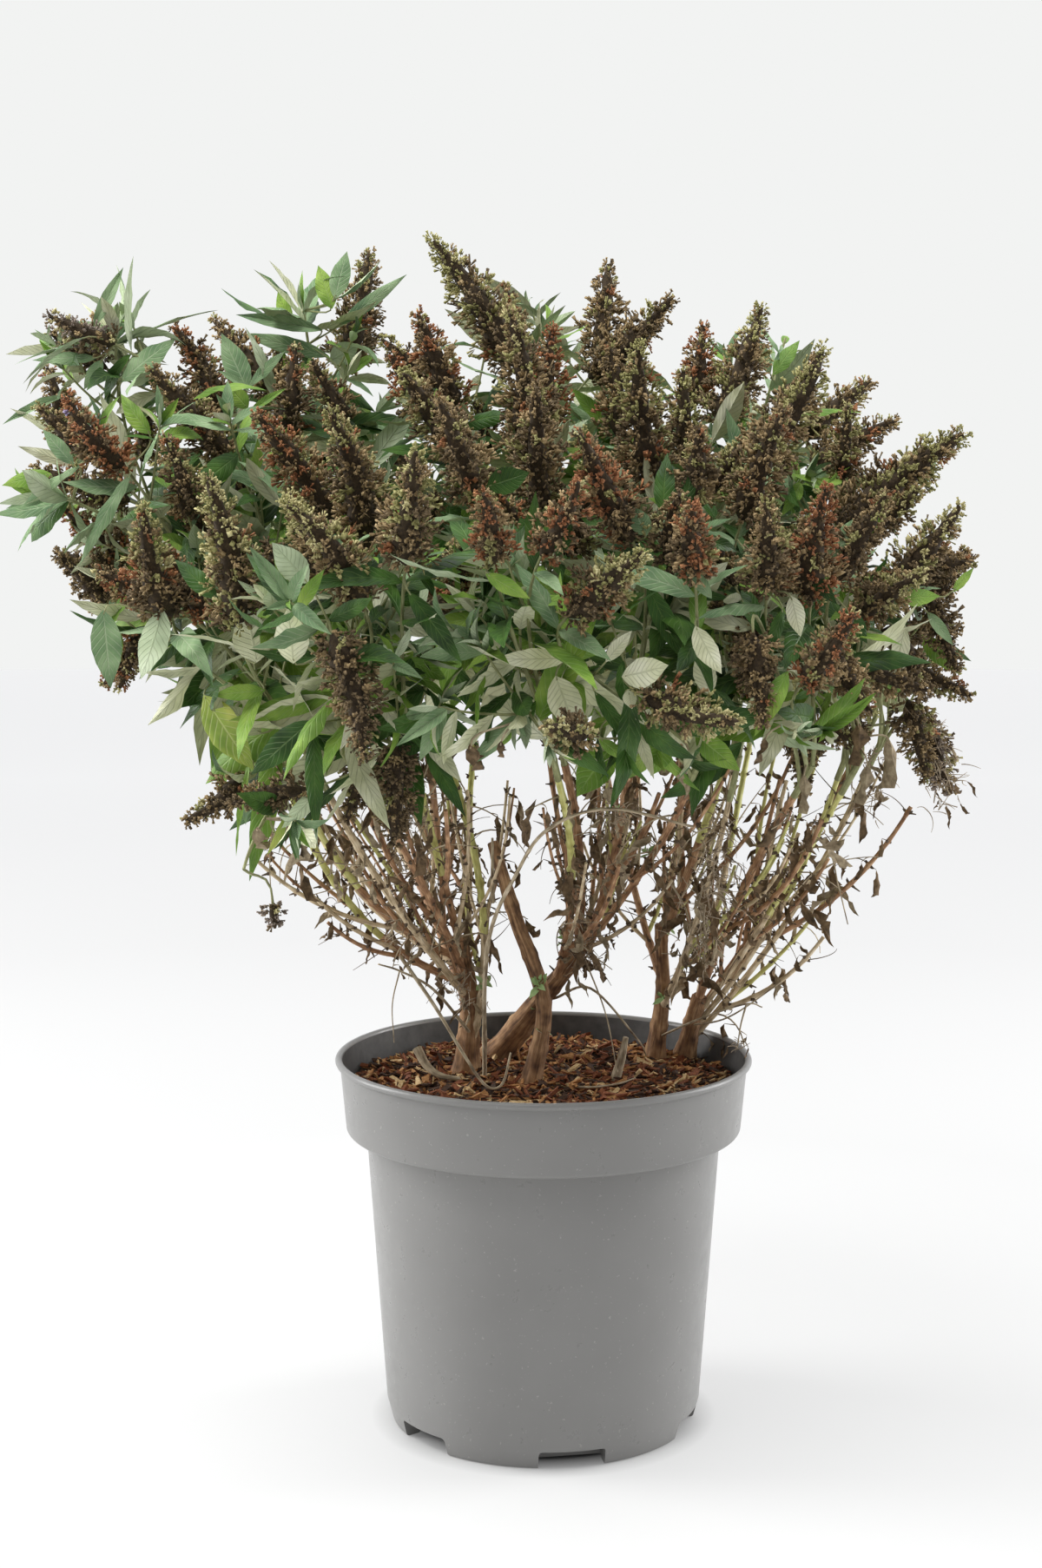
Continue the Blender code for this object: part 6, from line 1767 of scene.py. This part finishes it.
def build_studio():
    """A pale floor in white surroundings, which light the plant most from behind, with three soft boxes."""
    world = bpy.data.worlds.new("studio")
    world.use_nodes = True
    tree = world.node_tree
    seen = tree.nodes["Background"]
    seen.inputs["Color"].default_value = linear("#f2f3f2")
    way = add(tree, "SeparateXYZ", {0: add(tree, "TexCoord").outputs["Generated"]})
    from_behind = add(tree, "MapRange", {"Value": way.outputs["Y"], "From Min": -1.0, "From Max": 0.2,
                                         "To Min": SKY_FRONT, "To Max": SKY_BACK})
    lit = add(tree, "Background", {"Color": linear("#fbfcff"), "Strength": from_behind.outputs["Result"]})
    chosen = add(tree, "MixShader", {0: add(tree, "LightPath").outputs["Is Camera Ray"],
                                     1: lit.outputs["Background"], 2: seen.outputs["Background"]})
    tree.links.new(chosen.outputs["Shader"], tree.nodes["World Output"].inputs["Surface"])
    bpy.context.scene.world = world
    for name, row in SOFT_BOXES.items():
        area_light(name, *row)
    bm = bmesh.new()
    bmesh.ops.create_circle(bm, cap_ends=True, segments=96, radius=FLOOR_REACH)
    mesh = bpy.data.meshes.new("floor")
    bm.to_mesh(mesh)
    bm.free()
    # A matt white board that glows as painted light, for the strong light on it, which leaves only the
    # faintest shadows on it.
    material, tree, shader = new_material("matt_white_board_painted_glow", Roughness=0.7, Emission_Color=linear("#ffffff"))
    place = add(tree, "TexCoord").outputs["Object"]
    far = add(tree, "VectorMath", {0: place}, operation="LENGTH").outputs["Value"]
    share = add(tree, "MapRange", {"Value": far, "From Min": 0.0, "From Max": FLOOR_REACH})
    # Painted shade near the pot and painted light further out, to even out the soft boxes.
    ramp = add(tree, "ValToRGB", {"Fac": share.outputs["Result"]}, stops=FLOOR_TONES)
    tree.links.new(ramp.outputs["Color"], shader.inputs["Base Color"])
    # Painted light: the floor glows, with none under the pot and less just round its foot, a painted contact
    # shadow.
    glow = add(
        tree, "MapRange",
        {"Value": far, "From Min": GLOW_START[0], "From Max": GLOW_START[1], "To Max": FLOOR_GLOW},
    )
    tree.links.new(glow.outputs["Result"], shader.inputs["Emission Strength"])
    mesh.materials.append(material)
    floor = bpy.data.objects.new("floor", mesh)
    bpy.context.scene.collection.objects.link(floor)
    bpy.context.scene.view_settings.view_transform = "Standard"


def main():
    build_camera()
    build_studio()
    materials = build_materials()
    build_pot(materials)
    build_soil(materials)
    masses = grow_frame()
    room = fill_room(masses)
    room.close()
    build_crown(masses, room, materials)
    build_dead_growth(masses, materials)


main()
